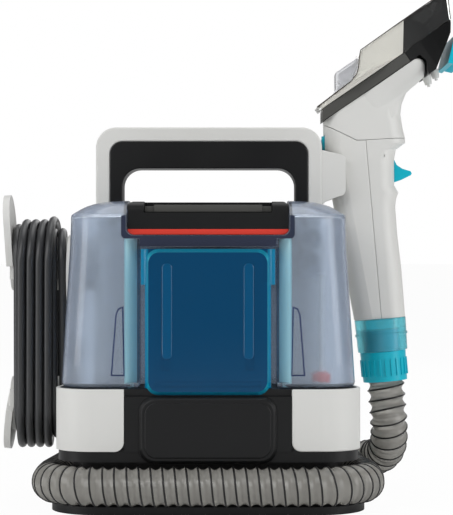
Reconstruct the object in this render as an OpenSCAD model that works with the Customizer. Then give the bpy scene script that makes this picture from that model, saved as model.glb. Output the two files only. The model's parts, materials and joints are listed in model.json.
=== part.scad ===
/* [Body] */
// Half width of the body at its front corners
body_half = 129; // [122:1:136]
// Half width of the body at its rear corners
rear_half = 113; // [106:1:118]
// Distance from the origin to the front of the body
front_y = 98; // [94:1:104]
// Distance from the origin to the rear of the body
rear_y = 88; // [84:1:96]
// Radius of the body's upright corners
corner_r = 34; // [28:1:40]
// Wall of the moulded housings
wall = 3; // [2:0.5:4]
// Thickness of the base plate
plate_t = 7; // [5:0.5:9]
// How far the waist stands in from the body, so that the hose lies round it
waist_in = 14; // [12:0.5:18]
// Height at which the waist ends and the body widens
waist_top = 43; // [41:0.5:46]
// Height at which the side panels start
panel_z = 52; // [50:0.5:56]
// Height of the deck that the tanks stand on
deck_z = 104; // [100:0.5:110]
// Half width of the dark middle between the side panels
centre_half = 70; // [66:0.5:74]
// Height of the upper rear housing
housing_top = 250; // [240:1:255]
// Half width of the upper rear housing
housing_half = 103; // [100:0.5:106]

/* [Front panel] */
// Half width of the raised front panel
panel_half = 57.5; // [52:0.5:62]
// How far the front panel stands out
panel_out = 4; // [3:0.5:6]

/* [Handle] */
// Half width of the carrying handle
handle_half = 100; // [94:1:102]
// Height of the handle's top
handle_top = 329; // [320:1:340]
// Depth of the handle from front to rear
handle_depth = 38; // [32:1:40]
// Thickness of the handle's outer shell
handle_shell_t = 12.5; // [9:0.5:14]
// Thickness of the grip under the top of the shell
grip_top_t = 24; // [20:0.5:28]
// Thickness of the grip on the legs
grip_side_t = 11; // [8:0.5:13]

/* [Recovery tank] */
// Half width of the recovery tank at its foot
tank_foot_half = 125; // [118:0.5:126]
// Half width of the recovery tank at its shoulders
tank_top_half = 117; // [112:0.5:120]
// Height of the shoulders' crown
tank_crown_z = 252; // [246:0.5:256]
// Wall of the tanks
tank_wall = 2.5; // [2:0.25:3.5]

/* [Solution tank] */
// Half width of the solution tank
fill_half = 56.5; // [50:0.5:60]
// Half width of its raised front face
face_half = 49.5; // [44:0.5:51]
// Height of its top
fill_top = 221; // [212:1:223]
// Depth of the solution tank from front to rear
fill_depth = 52; // [44:1:56]

/* [Lid] */
// Half width of the lid
lid_half = 67.6; // [62:0.2:70]
// Height of the lid's underside
lid_z = 233; // [230:0.5:236]
// Height of the lid's top
lid_top = 261; // [257:0.5:263]
// Height of the coloured stripe round the lid's foot
stripe_h = 4.7; // [3:0.1:6]

/* [Hose] */
// Outer diameter of the hose
hose_d = 34; // [33:0.5:34.5]
// Bore of the hose
hose_bore = 25; // [22:0.5:26]
// Number of ribs on the hose
hose_ribs = 97; // [80:1:110]

/* [Power cord] */
// Diameter of the power cord
cord_d = 7.4; // [7:0.1:7.5]
// Turns of the winding's inner layer
inner_turns = 5; // [3:1:5]
// Turns of the winding's outer layer
outer_turns = 3; // [2:1:3]
// Step between neighbouring turns
turn_pitch = 7.9; // [7.9:0.05:8.1]
// Half width of the pegs that the cord is wound on
peg_half = 24; // [20:0.5:25]

/* [Hand tool] */
// Lean of the docked hand tool
tool_lean = 5; // [4:0.25:6]
// Width of the grip
grip_w = 42; // [38:1:44]
// Length of the white grip
grip_len = 160; // [155:1:165]
// Diameter of the clear collar
collar_d = 46; // [44:0.5:46]
// Diameter of the hose cuff
cuff_d = 41; // [39:0.5:42]
// Width of the nozzle's mouth
mouth_w = 96; // [84:1:100]
// Rise of the nozzle from level
nozzle_rise = 34; // [32:1:36]

/* [Hidden] */

// Running clearance between pieces that move against each other
gap = 0.4;
// Radial clearance of a turning fit
fit = 0.05;
facets = 64;

black = "#1b1c1f";
dark_grey = "#3c3e43";
white = "#eceded";
teal = "#1fb4c6";
deep_teal = [0.03, 0.42, 0.56, 0.75];
clear_violet = [0.62, 0.65, 0.8, 0.4];
clear = [0.85, 0.88, 0.9, 0.35];
red = "#d8402f";
steel = "#b9bcc0";

// Body
plate_out = 4;
deck_t = 4;
middle_top = deck_z - 6;
seat = 0.3;

// Tank places
tank_front = front_y - 8;
tank_back = -2.6;
tank_r = 30;
tank_z = deck_z + 0.6;
neck_z = lid_z - 0.4;
fill_front = front_y - 2.4;
face_out = 5;
fill_back = fill_front - fill_depth;
fill_z = deck_z + 0.6;
pocket_gap = 1.6;
pocket_top = fill_top + pocket_gap;
pocket_half = fill_half + pocket_gap;
pocket_rear = fill_back - pocket_gap;

valve_y = -(fill_front + fill_back) / 2;
cup_r = 8;

// Lid places
lid_front = 84;
lid_rear = 5;
pin_r = 2;

// Handle places
handle_front = 3;
grip_half = handle_half - handle_shell_t;
open_half = grip_half - grip_side_t;
grip_z = handle_top - handle_shell_t;
open_top = grip_z - grip_top_t;

// Hand tool places: it stands beside the carry handle that its dock is part of
tool_out = 53.6;
head_out = 2.7;
tool_x = handle_half + tool_out;
tool_y = 34;
tool_z = 158.9;
collar_len = 29;
cuff_len = 27;
head_x = handle_half + head_out;
head_z = 336.3;

// Cord places
hook_y = 34;
peg_top_z = 208.5;
peg_low_z = 83;
first_turn_x = -(body_half + 1);
layer_in = peg_half + 0.5 + cord_d / 2;
layer_out = layer_in + cord_d + 0.6;

// A four-sided outline with round corners, narrower at the rear
module plan(front_half, back_half, front, back, r) {
    dx = back_half - front_half;
    dy = back + front - 2 * r;
    len = sqrt(dx * dx + dy * dy);
    nx = r * dy / len;
    ny = -r * dx / len;
    cf = front_half - r;
    cr = back_half - r;
    polygon([
        [-cf, -front], [cf, -front],
        [cf + nx, -(front - r) + ny], [cr + nx, back - r + ny],
        [cr, back], [-cr, back],
        [-cr - nx, back - r + ny], [-cf - nx, -(front - r) + ny]
    ]);
    for (s = [-1, 1]) {
        translate([s * cf, -(front - r)]) circle(r, $fn = facets);
        translate([s * cr, back - r]) circle(r, $fn = facets);
    }
}

module body_plan(inset) {
    plan(body_half - inset, rear_half - inset, front_y - inset, rear_y - inset, corner_r - inset);
}

module body_slab(inset, z0, z1) {
    translate([0, 0, z0]) linear_extrude(z1 - z0) body_plan(inset);
}

// A rectangle with round corners, centred
module round_rect(w, h, r) {
    square([w - 2 * r, h], center = true);
    square([w, h - 2 * r], center = true);
    for (x = [-1, 1], y = [-1, 1]) translate([x * (w / 2 - r), y * (h / 2 - r)]) circle(r, $fn = 48);
}

// An upright outline in X and Z, drawn towards the rear from y0
module upright(y0, depth) {
    translate([0, y0 + depth, 0]) rotate([90, 0, 0]) linear_extrude(depth) children();
}

// One ring of a loft: a rounded rectangle about (cx, cy) at height z, with its own rear corners
function ring(cx, cy, hx, hy, r, z, n, rear_r = -1) = [
    for (i = [0:n - 1])
        let (a = 360 * (i + 0.5) / n, sx = sign(cos(a)), sy = sign(sin(a)),
            q = sy > 0 && rear_r >= 0 ? rear_r : r)
        [cx + sx * (hx - q) + q * cos(a), cy + sy * (hy - q) + q * sin(a), z]
];

// A closed skin through rings that have the same number of points
module loft(rings) {
    n = len(rings[0]);
    m = len(rings);
    points = [for (r = rings) each r];
    sides = [
        for (j = [0:m - 2], i = [0:n - 1])
            let (a = j * n + i, b = j * n + (i + 1) % n)
            each [[a, a + n, b + n], [a, b + n, b]]
    ];
    foot = [for (i = [1:n - 2]) [0, i, i + 1]];
    head = [for (i = [1:n - 2]) [(m - 1) * n, (m - 1) * n + i + 1, (m - 1) * n + i]];
    polyhedron(points = points, faces = concat(foot, sides, head), convexity = 6);
}

module tool_frame() translate([tool_x, tool_y, tool_z]) rotate([0, -tool_lean, 0]) children();

// The nozzle's frame: X runs up along the nozzle, Z stands off its cover
module nozzle_frame() translate([head_x, tool_y, head_z]) rotate([0, -nozzle_rise, 0]) children();

// A side profile of the tool, drawn across its width
module side_profile(w) rotate([90, 0, 0]) translate([0, 0, -w / 2]) linear_extrude(w) children();

module base_plate() {
    color(black) difference() {
        linear_extrude(plate_t) plan(body_half + plate_out, rear_half + 13, front_y + 8, rear_y + 18, 48);
        translate([0, 0, -1]) foot_places() cylinder(h = 4 + gap, d = 26 + 2 * gap, $fn = facets);
        screw_places() {
            translate([0, 0, -1]) cylinder(h = 4, d = 8.4, $fn = 32);
            translate([0, 0, -1]) cylinder(h = plate_t + 2, d = 4.2, $fn = 32);
        }
    }
}

module foot_places() {
    for (s = [-1, 1]) {
        translate([s * (body_half - 34), -(front_y - 30), 0]) children();
        translate([s * (rear_half - 26), rear_y - 26, 0]) children();
    }
}

module screw_places() {
    for (s = [-1, 1], y = [-45, 40]) translate([s * 88, y, 0]) children();
}

module foot_pads() {
    color(dark_grey) foot_places() cylinder(h = 3 + gap, d = 26, $fn = facets);
}

module base_screws() {
    color(steel) screw_places() translate([0, 0, 0.6]) {
        cylinder(h = 2.4, d = 8, $fn = 32);
        cylinder(h = plate_t + 5, d = 4, $fn = 32);
    }
}

// The waist, the widened body over it and the deck are one open shell
module lower_housing() {
    floor_t = 3;
    color(black) difference() {
        union() {
            body_slab(waist_in, plate_t, waist_top);
            body_slab(2, waist_top, panel_z + 1);
            body_slab(wall + seat, panel_z, deck_z);
            // The dark middle comes out flush with the side panels
            intersection() {
                body_slab(0, panel_z, middle_top);
                translate([-centre_half + gap, -front_y - 1, panel_z])
                    cube([2 * (centre_half - gap), 2 * front_y, deck_z]);
            }
        }
        body_slab(waist_in + wall, plate_t + floor_t, waist_top + 3);
        body_slab(2 * wall + seat, waist_top + wall, deck_z - deck_t);
        // Hose port, cord gland and duct openings
        port_axis() translate([0, 0, -12]) cylinder(h = 30, r = port_r + fit, $fn = facets);
        gland_place() rotate([0, -90, 0]) translate([0, 0, -20])
            cylinder(h = 30, d = 9 + 2 * fit, $fn = 32);
        screw_places() translate([0, 0, plate_t - 1]) cylinder(h = 6, d = 4, $fn = 32);
        motor_axis(deck_z - deck_t - 1) cylinder(h = deck_t + 2, r = 14, $fn = facets);
        valve_place() translate([0, 0, deck_z - deck_t - 1]) cylinder(h = deck_t + 2, r = cup_r, $fn = 48);
    }
}

module valve_place() translate([0, valve_y, 0]) children();

// One white panel wraps round each side of the body
module side_panel(s) {
    inset = 8;
    color(white) intersection() {
        difference() {
            body_slab(0, panel_z, deck_z);
            body_slab(wall, panel_z - 1, deck_z + 1);
            if (s < 0) gland_place() rotate([0, -90, 0]) translate([0, 0, -20])
                cylinder(h = 40, d = 9 + 2 * gap, $fn = 32);
        }
        upright(-front_y - 2, 2 * front_y + 4) translate([s * (centre_half + 40), 0]) union() {
            translate([0, (panel_z + deck_z) / 2 + inset / 2])
                square([80, deck_z - panel_z - inset], center = true);
            translate([s * inset / 2, panel_z + inset / 2])
                square([80 - inset, inset + 0.01], center = true);
            translate([-s * (40 - inset), panel_z + inset]) circle(inset, $fn = 48);
        }
    }
}

module left_side_panel() side_panel(-1);
module right_side_panel() side_panel(1);

// A raised frame round a flat field, standing off the dark middle
module front_panel() {
    high = middle_top - (waist_top - 1);
    middle = (middle_top + waist_top - 1) / 2;
    rim = 5.4;
    color(black) translate([0, -front_y - 0.1, middle]) rotate([90, 0, 0]) {
        hull() {
            linear_extrude(1) round_rect(2 * panel_half, high, 13);
            translate([0, 0, panel_out - 1]) linear_extrude(1)
                round_rect(2 * panel_half - rim, high - rim, 11);
        }
        // Raised field inside a fine groove
        linear_extrude(panel_out + 1.2) round_rect(2 * (panel_half - rim), high - 2 * rim, 9);
    }
}

// Layers of the upper rear housing: height, half width, front, rear, corner
module rear_housing() {
    front = 2;
    layers = [
        [deck_z, 0, 0], [housing_top - 24, 0, 0], [housing_top - 12, 1, 2.5],
        [housing_top - 5, 3, 8], [housing_top - 1, 7, 15], [housing_top, 11, 20]
    ];
    color(white) difference() {
        loft([for (l = layers) housing_ring(l, 0, front)]);
        loft([
            housing_ring([deck_z - 1, 0, 0], wall, front),
            housing_ring([housing_top - 26, 0, 0], wall, front),
            housing_ring([housing_top - 13, 4, 6], wall, front),
            housing_ring([housing_top - 8, 10, 14], wall, front)
        ]);
        // Opening behind the rear grille
        translate([0, rear_y - 10, grille_z]) rotate([-90, 0, 0]) linear_extrude(20)
            round_rect(grille_w - 8, grille_h - 8, 6);
        duct_places() rotate([90, 0, 0]) translate([0, 0, -wall - 4])
            cylinder(h = wall + 8, r = $duct_r + fit, $fn = 48);
        button_place() translate([0, 0, -12]) cylinder(h = 16, r = button_r + gap, $fn = 48);
    }
}

function housing_ring(l, inset, front) = ring(
    0, (front + rear_y - l[2]) / 2, housing_half - l[1] - inset,
    (rear_y - l[2] - front) / 2 - inset, 20 - inset, l[0], 48
);

grille_w = 116;
grille_h = 78;
grille_z = 165;

// A slatted outlet that is let into the rear wall
module rear_grille() {
    slats = 9;
    pitch = (grille_h - 22) / slats;
    color(dark_grey) translate([0, rear_y + 0.1, grille_z]) rotate([-90, 0, 0]) {
        difference() {
            union() {
                linear_extrude(2.4) round_rect(grille_w, grille_h, 10);
                translate([0, 0, -6]) linear_extrude(7) round_rect(grille_w - 9, grille_h - 9, 5.5);
            }
            for (i = [0:slats - 1], s = [-1, 1])
                translate([s * (grille_w - 22) / 4 - (grille_w - 30) / 4,
                    -(grille_h - 22) / 2 + i * pitch + 1, -7])
                    cube([(grille_w - 30) / 2, pitch - 2.6, 12]);
        }
    }
}

motor_y = 47;
motor_r = 33;
shaft_r = 3;

module motor_axis(z) translate([0, motor_y, z]) children();

module motor_casing() {
    color(dark_grey) difference() {
        union() {
            motor_axis(deck_z) cylinder(h = 96, r = motor_r, $fn = facets);
            motor_axis(deck_z) cylinder(h = 6, r = motor_r + 5, $fn = facets);
        }
        motor_axis(deck_z + 4) cylinder(h = 40, r = motor_r - 2.5, $fn = facets);
        motor_axis(deck_z + 48) cylinder(h = 44, r = motor_r - 6, $fn = facets);
        motor_axis(deck_z - 1) cylinder(h = 98, r = 6, $fn = 48);
        motor_axis(deck_z - 1) cylinder(h = 8, r = 16, $fn = 48);
        for (a = [0:60:300]) motor_axis(deck_z + 18) rotate([0, 0, a])
            rotate([0, 90, 0]) cylinder(h = motor_r + 6, r = 6, $fn = 32);
    }
}

module motor_bearings() {
    color(steel) for (z = [deck_z + 44, deck_z + 92]) motor_axis(z) difference() {
        cylinder(h = 4, r = 6, $fn = 48);
        translate([0, 0, -1]) cylinder(h = 6, r = shaft_r + fit, $fn = 48);
    }
}

module motor_shaft() {
    color(steel) motor_axis(deck_z + 8) cylinder(h = 86, r = shaft_r, $fn = 48);
    color(dark_grey) motor_axis(deck_z + 52) cylinder(h = 34, r = 20, $fn = facets);
}

module fan_rotor() {
    blades = 9;
    color(steel) motor_axis(deck_z + 12) {
        difference() {
            union() {
                cylinder(h = 2, r = 27, $fn = facets);
                cylinder(h = 20, r = 8, $fn = 48);
                for (i = [0:blades - 1]) rotate([0, 0, i * 360 / blades])
                    intersection() {
                        translate([-4, 12, 0]) difference() {
                            cylinder(h = 16, r = 15, $fn = 48);
                            translate([0, 0, -1]) cylinder(h = 18, r = 13.4, $fn = 48);
                        }
                        translate([0, 4, 0]) cube([28, 24, 16]);
                    }
            }
            translate([0, 0, -1]) cylinder(h = 24, r = shaft_r, $fn = 48);
        }
    }
}

module pump() {
    color(dark_grey) translate([-38, -60, plate_t + 3]) {
        translate([-22, -14, 0]) cube([44, 32, 26]);
        translate([22, 0, 14]) rotate([0, 90, 0]) cylinder(h = 34, r = 12, $fn = facets);
        translate([-10, valve_y + 60, 26]) cylinder(h = 8, r = 2.2, $fn = 32);
    }
}

// Feed from the seat of the solution tank down to the pump
module pump_tube() {
    bend = 14;
    low = plate_t + 30;
    top = deck_z - deck_t - 12;
    color(white) difference() {
        union() {
            translate([-48, valve_y, low]) cylinder(h = top - bend - low, r = 3.5, $fn = 24);
            translate([bend - 48, valve_y, top - bend]) rotate([90, 0, 0]) rotate([0, 0, 90])
                rotate_extrude(angle = 90, $fn = 48) translate([bend, 0]) circle(3.5, $fn = 24);
            translate([bend - 48, valve_y, top]) rotate([0, 90, 0])
                cylinder(h = 48 - bend - cup_r + 0.5, r = 3.5, $fn = 24);
        }
        translate([-48, valve_y, low - 1]) cylinder(h = 8, r = 2.2, $fn = 24);
    }
}

button_in = 38;
button_y = 40;
module button_place() translate([handle_half - button_in, button_y, housing_top]) children();
button_r = 11;
button_travel = 2;
button_roof = 3;

module power_button() {
    color(teal) button_place() {
        translate([0, 0, -10]) difference() {
            cylinder(h = 10.5 + button_travel, r = button_r, $fn = 48);
            translate([0, 0, -1]) cylinder(h = 11 - button_roof, r = button_r - 2, $fn = 48);
            translate([0, 0, 11.8]) cylinder(h = 2, r = button_r - 3, $fn = 48);
        }
    }
}

module button_spring() {
    color(steel) button_place() difference() {
        translate([0, 0, -22]) cylinder(h = 21.7 - button_roof - button_travel, r = 6, $fn = 32);
        translate([0, 0, -23]) cylinder(h = 20, r = 4.6, $fn = 32);
    }
}

// Cup in the deck that opens the solution tank's valve
module valve_cup() {
    color(dark_grey) valve_place() difference() {
        union() {
            translate([0, 0, deck_z - 22]) cylinder(h = 22.2, r = cup_r, $fn = 48);
            translate([0, 0, deck_z - deck_t - 2]) cylinder(h = 2, r = cup_r + 2.5, $fn = 48);
        }
        translate([0, 0, deck_z - 18]) difference() {
            cylinder(h = 20, r = cup_r - 2, $fn = 48);
            translate([0, 0, -1]) cylinder(h = 18, r = 1.4, $fn = 24);
        }
        translate([-cup_r - 1, 0, deck_z - deck_t - 12]) rotate([0, 90, 0])
            cylinder(h = 4, r = 2.2, $fn = 24);
    }
}

// Ports
port_r = 17;
port_x = 126;
port_y = 44;
port_z = plate_t + hose_d / 2 + 0.2;
port_bend = 24;

module port_axis() translate([port_x - port_bend - 18, port_y + port_bend, port_z]) rotate([0, 90, 0])
    children();

// Elbow that turns the hose from the side of the waist to the front
module hose_port() {
    neck = 20;
    wall_t = 2.5;
    color(dark_grey) translate([port_x, port_y, port_z]) {
        translate([-port_bend, 0, 0]) rotate_extrude(angle = 90, $fn = 96) translate([port_bend, 0])
            difference() {
            circle(port_r, $fn = 48);
            circle(port_r - wall_t, $fn = 48);
        }
        translate([-port_bend - neck, port_bend, 0]) rotate([0, 90, 0]) linear_extrude(neck) difference() {
            circle(port_r, $fn = 48);
            circle(port_r - wall_t, $fn = 48);
        }
    }
}

// The two round ducts from the tank into the rear housing: x, z and radius of each
duct_x = tank_top_half - 29;
ducts = [[duct_x, 230, 8.6], [duct_x - 1, 212, 7.4]];

module duct_places() {
    for (d = ducts) translate([d[0], 2, d[1]]) { $duct_r = d[2]; children(); }
}

module duct_ports() {
    color(dark_grey) duct_places() rotate([90, 0, 0]) translate([0, 0, -14]) difference() {
        union() {
            cylinder(h = 15, r = $duct_r, $fn = 48);
            cylinder(h = 8, r = $duct_r + 0.9, $fn = 48);
        }
        translate([0, 0, -1]) cylinder(h = 17, r = $duct_r - 1.6, $fn = 48);
    }
}

module port_seals() {
    color(black) duct_places() rotate([90, 0, 0]) translate([0, 0, 1]) difference() {
        cylinder(h = 3, r = $duct_r + 0.2, $fn = 48);
        translate([0, 0, -1]) cylinder(h = 5, r = $duct_r - 1.6, $fn = 48);
    }
}

// Outline of the handle at a distance inside its outer edge
module handle_outline(half, top, r, foot) {
    translate([-half, foot]) square([2 * half, top - foot - r]);
    translate([-half + r, foot]) square([2 * (half - r), top - foot]);
    for (s = [-1, 1]) translate([s * (half - r), top - r]) circle(r, $fn = 96);
}

handle_foot = housing_top - 8;

module handle_shell() {
    color(white) upright(handle_front, handle_depth) difference() {
        handle_outline(handle_half, handle_top, 18, handle_foot);
        handle_outline(grip_half, grip_z, 11, handle_foot - 1);
    }
}

// The grip stands a little proud of the shell at front and rear
module handle_grip() {
    proud = 0.8;
    color(black) union() {
        upright(handle_front - proud, handle_depth + 2 * proud) difference() {
            handle_outline(grip_half, grip_z, 11, handle_foot);
            handle_outline(open_half, open_top, 15.5, handle_foot - 1);
        }
    }
}

// Cradle on the handle's right leg: front and rear tabs with a back plate
module tool_dock() {
    low = 262;
    high = 309;
    reach = 21;
    tab = 9;
    color(white) {
        for (y = [tool_y - grip_w / 2 - tab - gap, tool_y + grip_w / 2 + gap])
            upright(y, tab) difference() {
                union() {
                    polygon([
                        [handle_half - 0.2, low], [handle_half + 4, low + 2],
                        [handle_half + reach - 6, low + 6],
                        [handle_half + reach, low + 14], [handle_half + reach, high - 7],
                        [handle_half + reach - 4, high - 4], [handle_half - 0.2, high]
                    ]);
                    translate([handle_half + reach - 6, low + 12]) circle(6, $fn = 48);
                }
            }
        // Foot that carries the rear tab back to the leg
        translate([handle_half - 0.2, tool_y - grip_w / 2 - tab - gap, low])
            cube([2.6, grip_w + 2 * tab + 2 * gap, 14]);
    }
}

hook_root_x = -housing_half + 1;
hook_plate_x = first_turn_x + 5;
paddle_x = first_turn_x - 47;

// Peg with a round back over which the turns lie, an inner plate and an outer paddle
module upper_cord_hook() {
    color(white) translate([0, hook_y, 0]) {
        translate([paddle_x, 0, 0]) rotate([0, 90, 0]) rotate([0, 0, 90])
            linear_extrude(hook_root_x - paddle_x)
            hook_section(peg_top_z, peg_top_z - 14);
        translate([hook_plate_x - 1, 0, 0]) rotate([0, 90, 0]) rotate([0, 0, 90]) linear_extrude(4.5)
            hook_plate(peg_top_z + peg_half + 1.5, peg_top_z - 16, peg_half + 13);
        translate([paddle_x, 0, 238]) rotate([0, -4, 0]) translate([-5, 0, -238]) rotate([0, 90, 0])
            rotate([0, 0, 90]) linear_extrude(6) hook_plate(270, 206, peg_half + 3);
    }
}

module lower_cord_hook() {
    root_x = -rear_half + 2;
    color(white) translate([0, hook_y, 0]) {
        translate([paddle_x, 0, 0]) rotate([0, 90, 0]) rotate([0, 0, 90]) linear_extrude(root_x - paddle_x)
            translate([0, 2 * peg_low_z]) mirror([0, 1]) hook_section(peg_low_z, peg_low_z - 14);
        translate([paddle_x, 0, 60]) rotate([0, 6, 0]) translate([-5, 0, -60]) rotate([0, 90, 0])
            rotate([0, 0, 90]) linear_extrude(6) translate([0, 120]) mirror([0, 1])
                hook_plate(78, 42, peg_half + 3);
    }
}

// Section of a peg in Y and Z: a half round over a square foot
module hook_section(z_round, z_foot) {
    translate([0, z_round]) circle(peg_half, $fn = facets);
    translate([-peg_half, z_foot]) square([2 * peg_half, z_round - z_foot]);
}

module hook_plate(z_top, z_foot, half) {
    translate([0, z_top - half]) circle(half, $fn = facets);
    translate([-half, z_foot]) square([2 * half, z_top - half - z_foot]);
}

// Cord gland on the left side, with a relief that turns the cord up into its first turn
gland_z = 56;
relief_top = 80;
gland_r = 4.15;
gland_x = first_turn_x + 1.2;

module gland_place() translate([-rear_half, hook_y - layer_in, gland_z]) children();

module cord_gland() {
    color(dark_grey) {
        translate([gland_x - gland_r, hook_y - layer_in, gland_z]) rotate([0, 90, 0])
            cylinder(h = gland_r - gland_x - rear_half + 4, r = gland_r, $fn = 48);
        translate([gland_x, hook_y - layer_in, gland_z]) {
            cylinder(h = relief_top - gland_z, r = gland_r - 0.3, $fn = 48);
            for (z = [6:5:16]) translate([0, 0, z]) cylinder(h = 2.4, r = gland_r, $fn = 48);
        }
    }
}

// The winding: turns about the pegs, out along X in the inner layer and back in the outer one
step_count = 24;
climb_turns = 0.5;
tail_turns = 0.5;
back_turns = outer_turns + 0.5;
tail_reach = 48;
tail_z = 150;

// Place in a turn, from 0 to 1, to a point of a loop at distance d from the pegs' middle
function turn_point(u, d) =
    let (k = floor(u * step_count + 0.001) % step_count, half = step_count / 2)
    let (a = k < half ? k * 180 / (half - 1) : 180 + (k - half) * 180 / (half - 1))
    [hook_y - d * cos(a), (k < half ? peg_top_z : peg_low_z) + d * sin(a)];

function winding_x(t) =
    let (out = first_turn_x - turn_pitch * inner_turns, c = t - inner_turns)
    c <= 0 ? first_turn_x - turn_pitch * t
    : c <= climb_turns ? out - 0.25 * turn_pitch * sin(180 * c / climb_turns)
    : out + turn_pitch * (c - climb_turns);

function winding_d(t) =
    let (c = t - inner_turns, e = c - climb_turns - back_turns)
    c <= 0 ? layer_in
    : c <= climb_turns ? layer_in + (layer_out - layer_in) * c / climb_turns
    : e <= 0 ? layer_out
    : layer_out + (tail_reach - layer_out) * pow(e / tail_turns, 2);

all_turns = inner_turns + climb_turns + back_turns + tail_turns;
tail_x = winding_x(all_turns);
turn_points = [
    for (i = [0:all_turns * step_count - 1])
        let (t = i / step_count, p = turn_point(t - floor(t), winding_d(t)))
        [winding_x(t), p[0], p[1]]
];
cord_route = concat(
    [[gland_x, hook_y - layer_in, relief_top], [gland_x, hook_y - layer_in, relief_top + 1.5 * cord_d]],
    turn_points,
    [[tail_x, hook_y + tail_reach, peg_top_z - 10], [tail_x, hook_y + tail_reach, tail_z + 1.5 * cord_d],
     [tail_x, hook_y + tail_reach, tail_z]]
);

function route_length(p) = sum_of([for (i = [1:len(p) - 1]) norm(p[i] - p[i - 1])]);
function sum_of(v) = v * [for (x = v) 1];

// Least gap of the winding to itself: points 5 mm apart along it
// against every stretch that isn't next to them
function off_line(q, a, b) =
    let (u = b - a, t = max(0, min(1, (q - a) * u / (u * u)))) norm(q - a - t * u);
function winding_gap() =
    let (
        samples = [
            for (i = [0:len(turn_points) - 2])
                let (a = turn_points[i], b = turn_points[i + 1], n = ceil(norm(b - a) / 5))
                for (k = [0:n - 1]) [i, a + (b - a) * k / n]
        ]
    )
    min([
        for (s = samples, j = [0:len(turn_points) - 2])
            if (abs(j - s[0]) > 2) off_line(s[1], turn_points[j], turn_points[j + 1])
    ]) - cord_d;

// Frames carried along a route without twist: one normal for each point
function tangent(p, i) =
    let (a = p[max(i - 1, 0)], b = p[min(i + 1, len(p) - 1)]) (b - a) / norm(b - a);
function off_tangent(n, t) = let (m = n - (n * t) * t) m / norm(m);
function normals(p, first) = [
    for (i = 0, n = off_tangent(first, tangent(p, 0)); i < len(p);
        i = i + 1, n = i < len(p) ? off_tangent(n, tangent(p, i)) : n) n
];

// Rings of n points round a route, the radius taken from a list
function rings_on(p, first, radii, n, every = 1) =
    let (m = normals(p, first), last = len(p) - 1)
    [
        for (i = [0:every:last])
            let (t = tangent(p, i), u = m[i], v = cross(t, u), r = radii[i % len(radii)])
            [for (k = [0:n - 1]) p[i] + r * (u * cos(360 * (k + 0.5) / n) + v * sin(360 * (k + 0.5) / n))]
    ];

// Side faces between rings that start at point number base; flip turns them inside out
function tube_faces(count, n, base, flip) = [
    for (j = [0:count - 2], k = [0:n - 1])
        let (a = base + j * n + k, b = base + j * n + (k + 1) % n)
        each flip ? [[a, b, b + n], [a, b + n, a + n]] : [[a, b + n, b], [a, a + n, b + n]]
];

module power_cord() {
    echo(cord_length = route_length(cord_route), winding_gap = winding_gap());
    n = 6;
    r = rings_on(cord_route, [1, 0, 0], [cord_d / 2], n);
    count = len(r);
    ends = [for (k = [1:n - 2]) each [[0, k, k + 1],
        [(count - 1) * n, (count - 1) * n + k + 1, (count - 1) * n + k]]];
    color(black) polyhedron(points = [for (q = r) each q],
        faces = concat(tube_faces(count, n, 0, false), ends), convexity = 20);
}

// Moulded plug that hangs behind the winding and clips to its turns
module plug() {
    color(black) translate([tail_x, hook_y + tail_reach, tail_z]) {
        translate([0, 0, -16]) cylinder(h = 16, r1 = 8, r2 = 4.6, $fn = 48);
        translate([-12, -7, -46]) difference() {
            cube([24, 16, 31]);
            for (x = [-1, 25]) translate([x, 8, 15]) cylinder(h = 40, r = 3, center = true, $fn = 32);
        }
    }
    color(steel) for (s = [-1, 1]) translate([tail_x + s * 6.35 - 0.75, hook_y + tail_reach - 3,
        tail_z - 63])
        cube([1.5, 6.3, 18]);
}

// The hose's route on the base plate, round the waist and up to the cuff
hose_z = 24.2;
hose_points = [
    [126, 44, hose_z], [126, 27, hose_z], [126, 8, hose_z], [130, -22, hose_z], [133, -48, hose_z],
    [130, -79, hose_z], [108, -103, hose_z], [76, -109, hose_z], [40, -110, hose_z], [0, -110, hose_z],
    [-40, -110, hose_z], [-76, -109, hose_z], [-108, -103, hose_z], [-130, -79, hose_z],
    [-133, -48, hose_z], [-131, -18, hose_z], [-128, 12, hose_z], [-125, 42, hose_z],
    [-117, 73, hose_z], [-96, 96, hose_z], [-68, 106, hose_z], [-30, 107, hose_z], [10, 107, hose_z],
    [50, 107, hose_z], [80, 107, hose_z], [108, 105, 24.6], [133, 96, 26], [151, 79, 29.5],
    [160, 59, 37], [162.5, 43, 50], [161.4, 34, 69.3], [160, 34, 86], [158.5, 34, 102.8]
];

// A smooth curve through the points, then even steps along it
function curve_point(p, i, t) =
    let (a = i > 0 ? p[i - 1] : 2 * p[0] - p[1], b = p[i], c = p[i + 1],
        d = i + 2 < len(p) ? p[i + 2] : 2 * p[i + 1] - p[i])
    b + t * ((c - a) / 2 + t * (a - 2.5 * b + 2 * c - d / 2 + t * (1.5 * (b - c) + (d - a) / 2)));
dense = [
    for (i = [0:len(hose_points) - 2], k = [0:7]) curve_point(hose_points, i, k / 8)
];
fine_route = concat(dense, [hose_points[len(hose_points) - 1]]);
run = [
    for (i = 0, s = 0; i < len(fine_route);
        i = i + 1, s = i < len(fine_route) ? s + norm(fine_route[i] - fine_route[i - 1]) : s) s
];
hose_len = run[len(run) - 1];
hose_steps = 2 * hose_ribs;
hose_route = [
    for (i = [0:hose_steps]) let (s = hose_len * i / hose_steps)
        [for (k = [0:2]) lookup(s, [for (j = [0:len(run) - 1]) [run[j], fine_route[j][k]]])]
];

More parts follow.
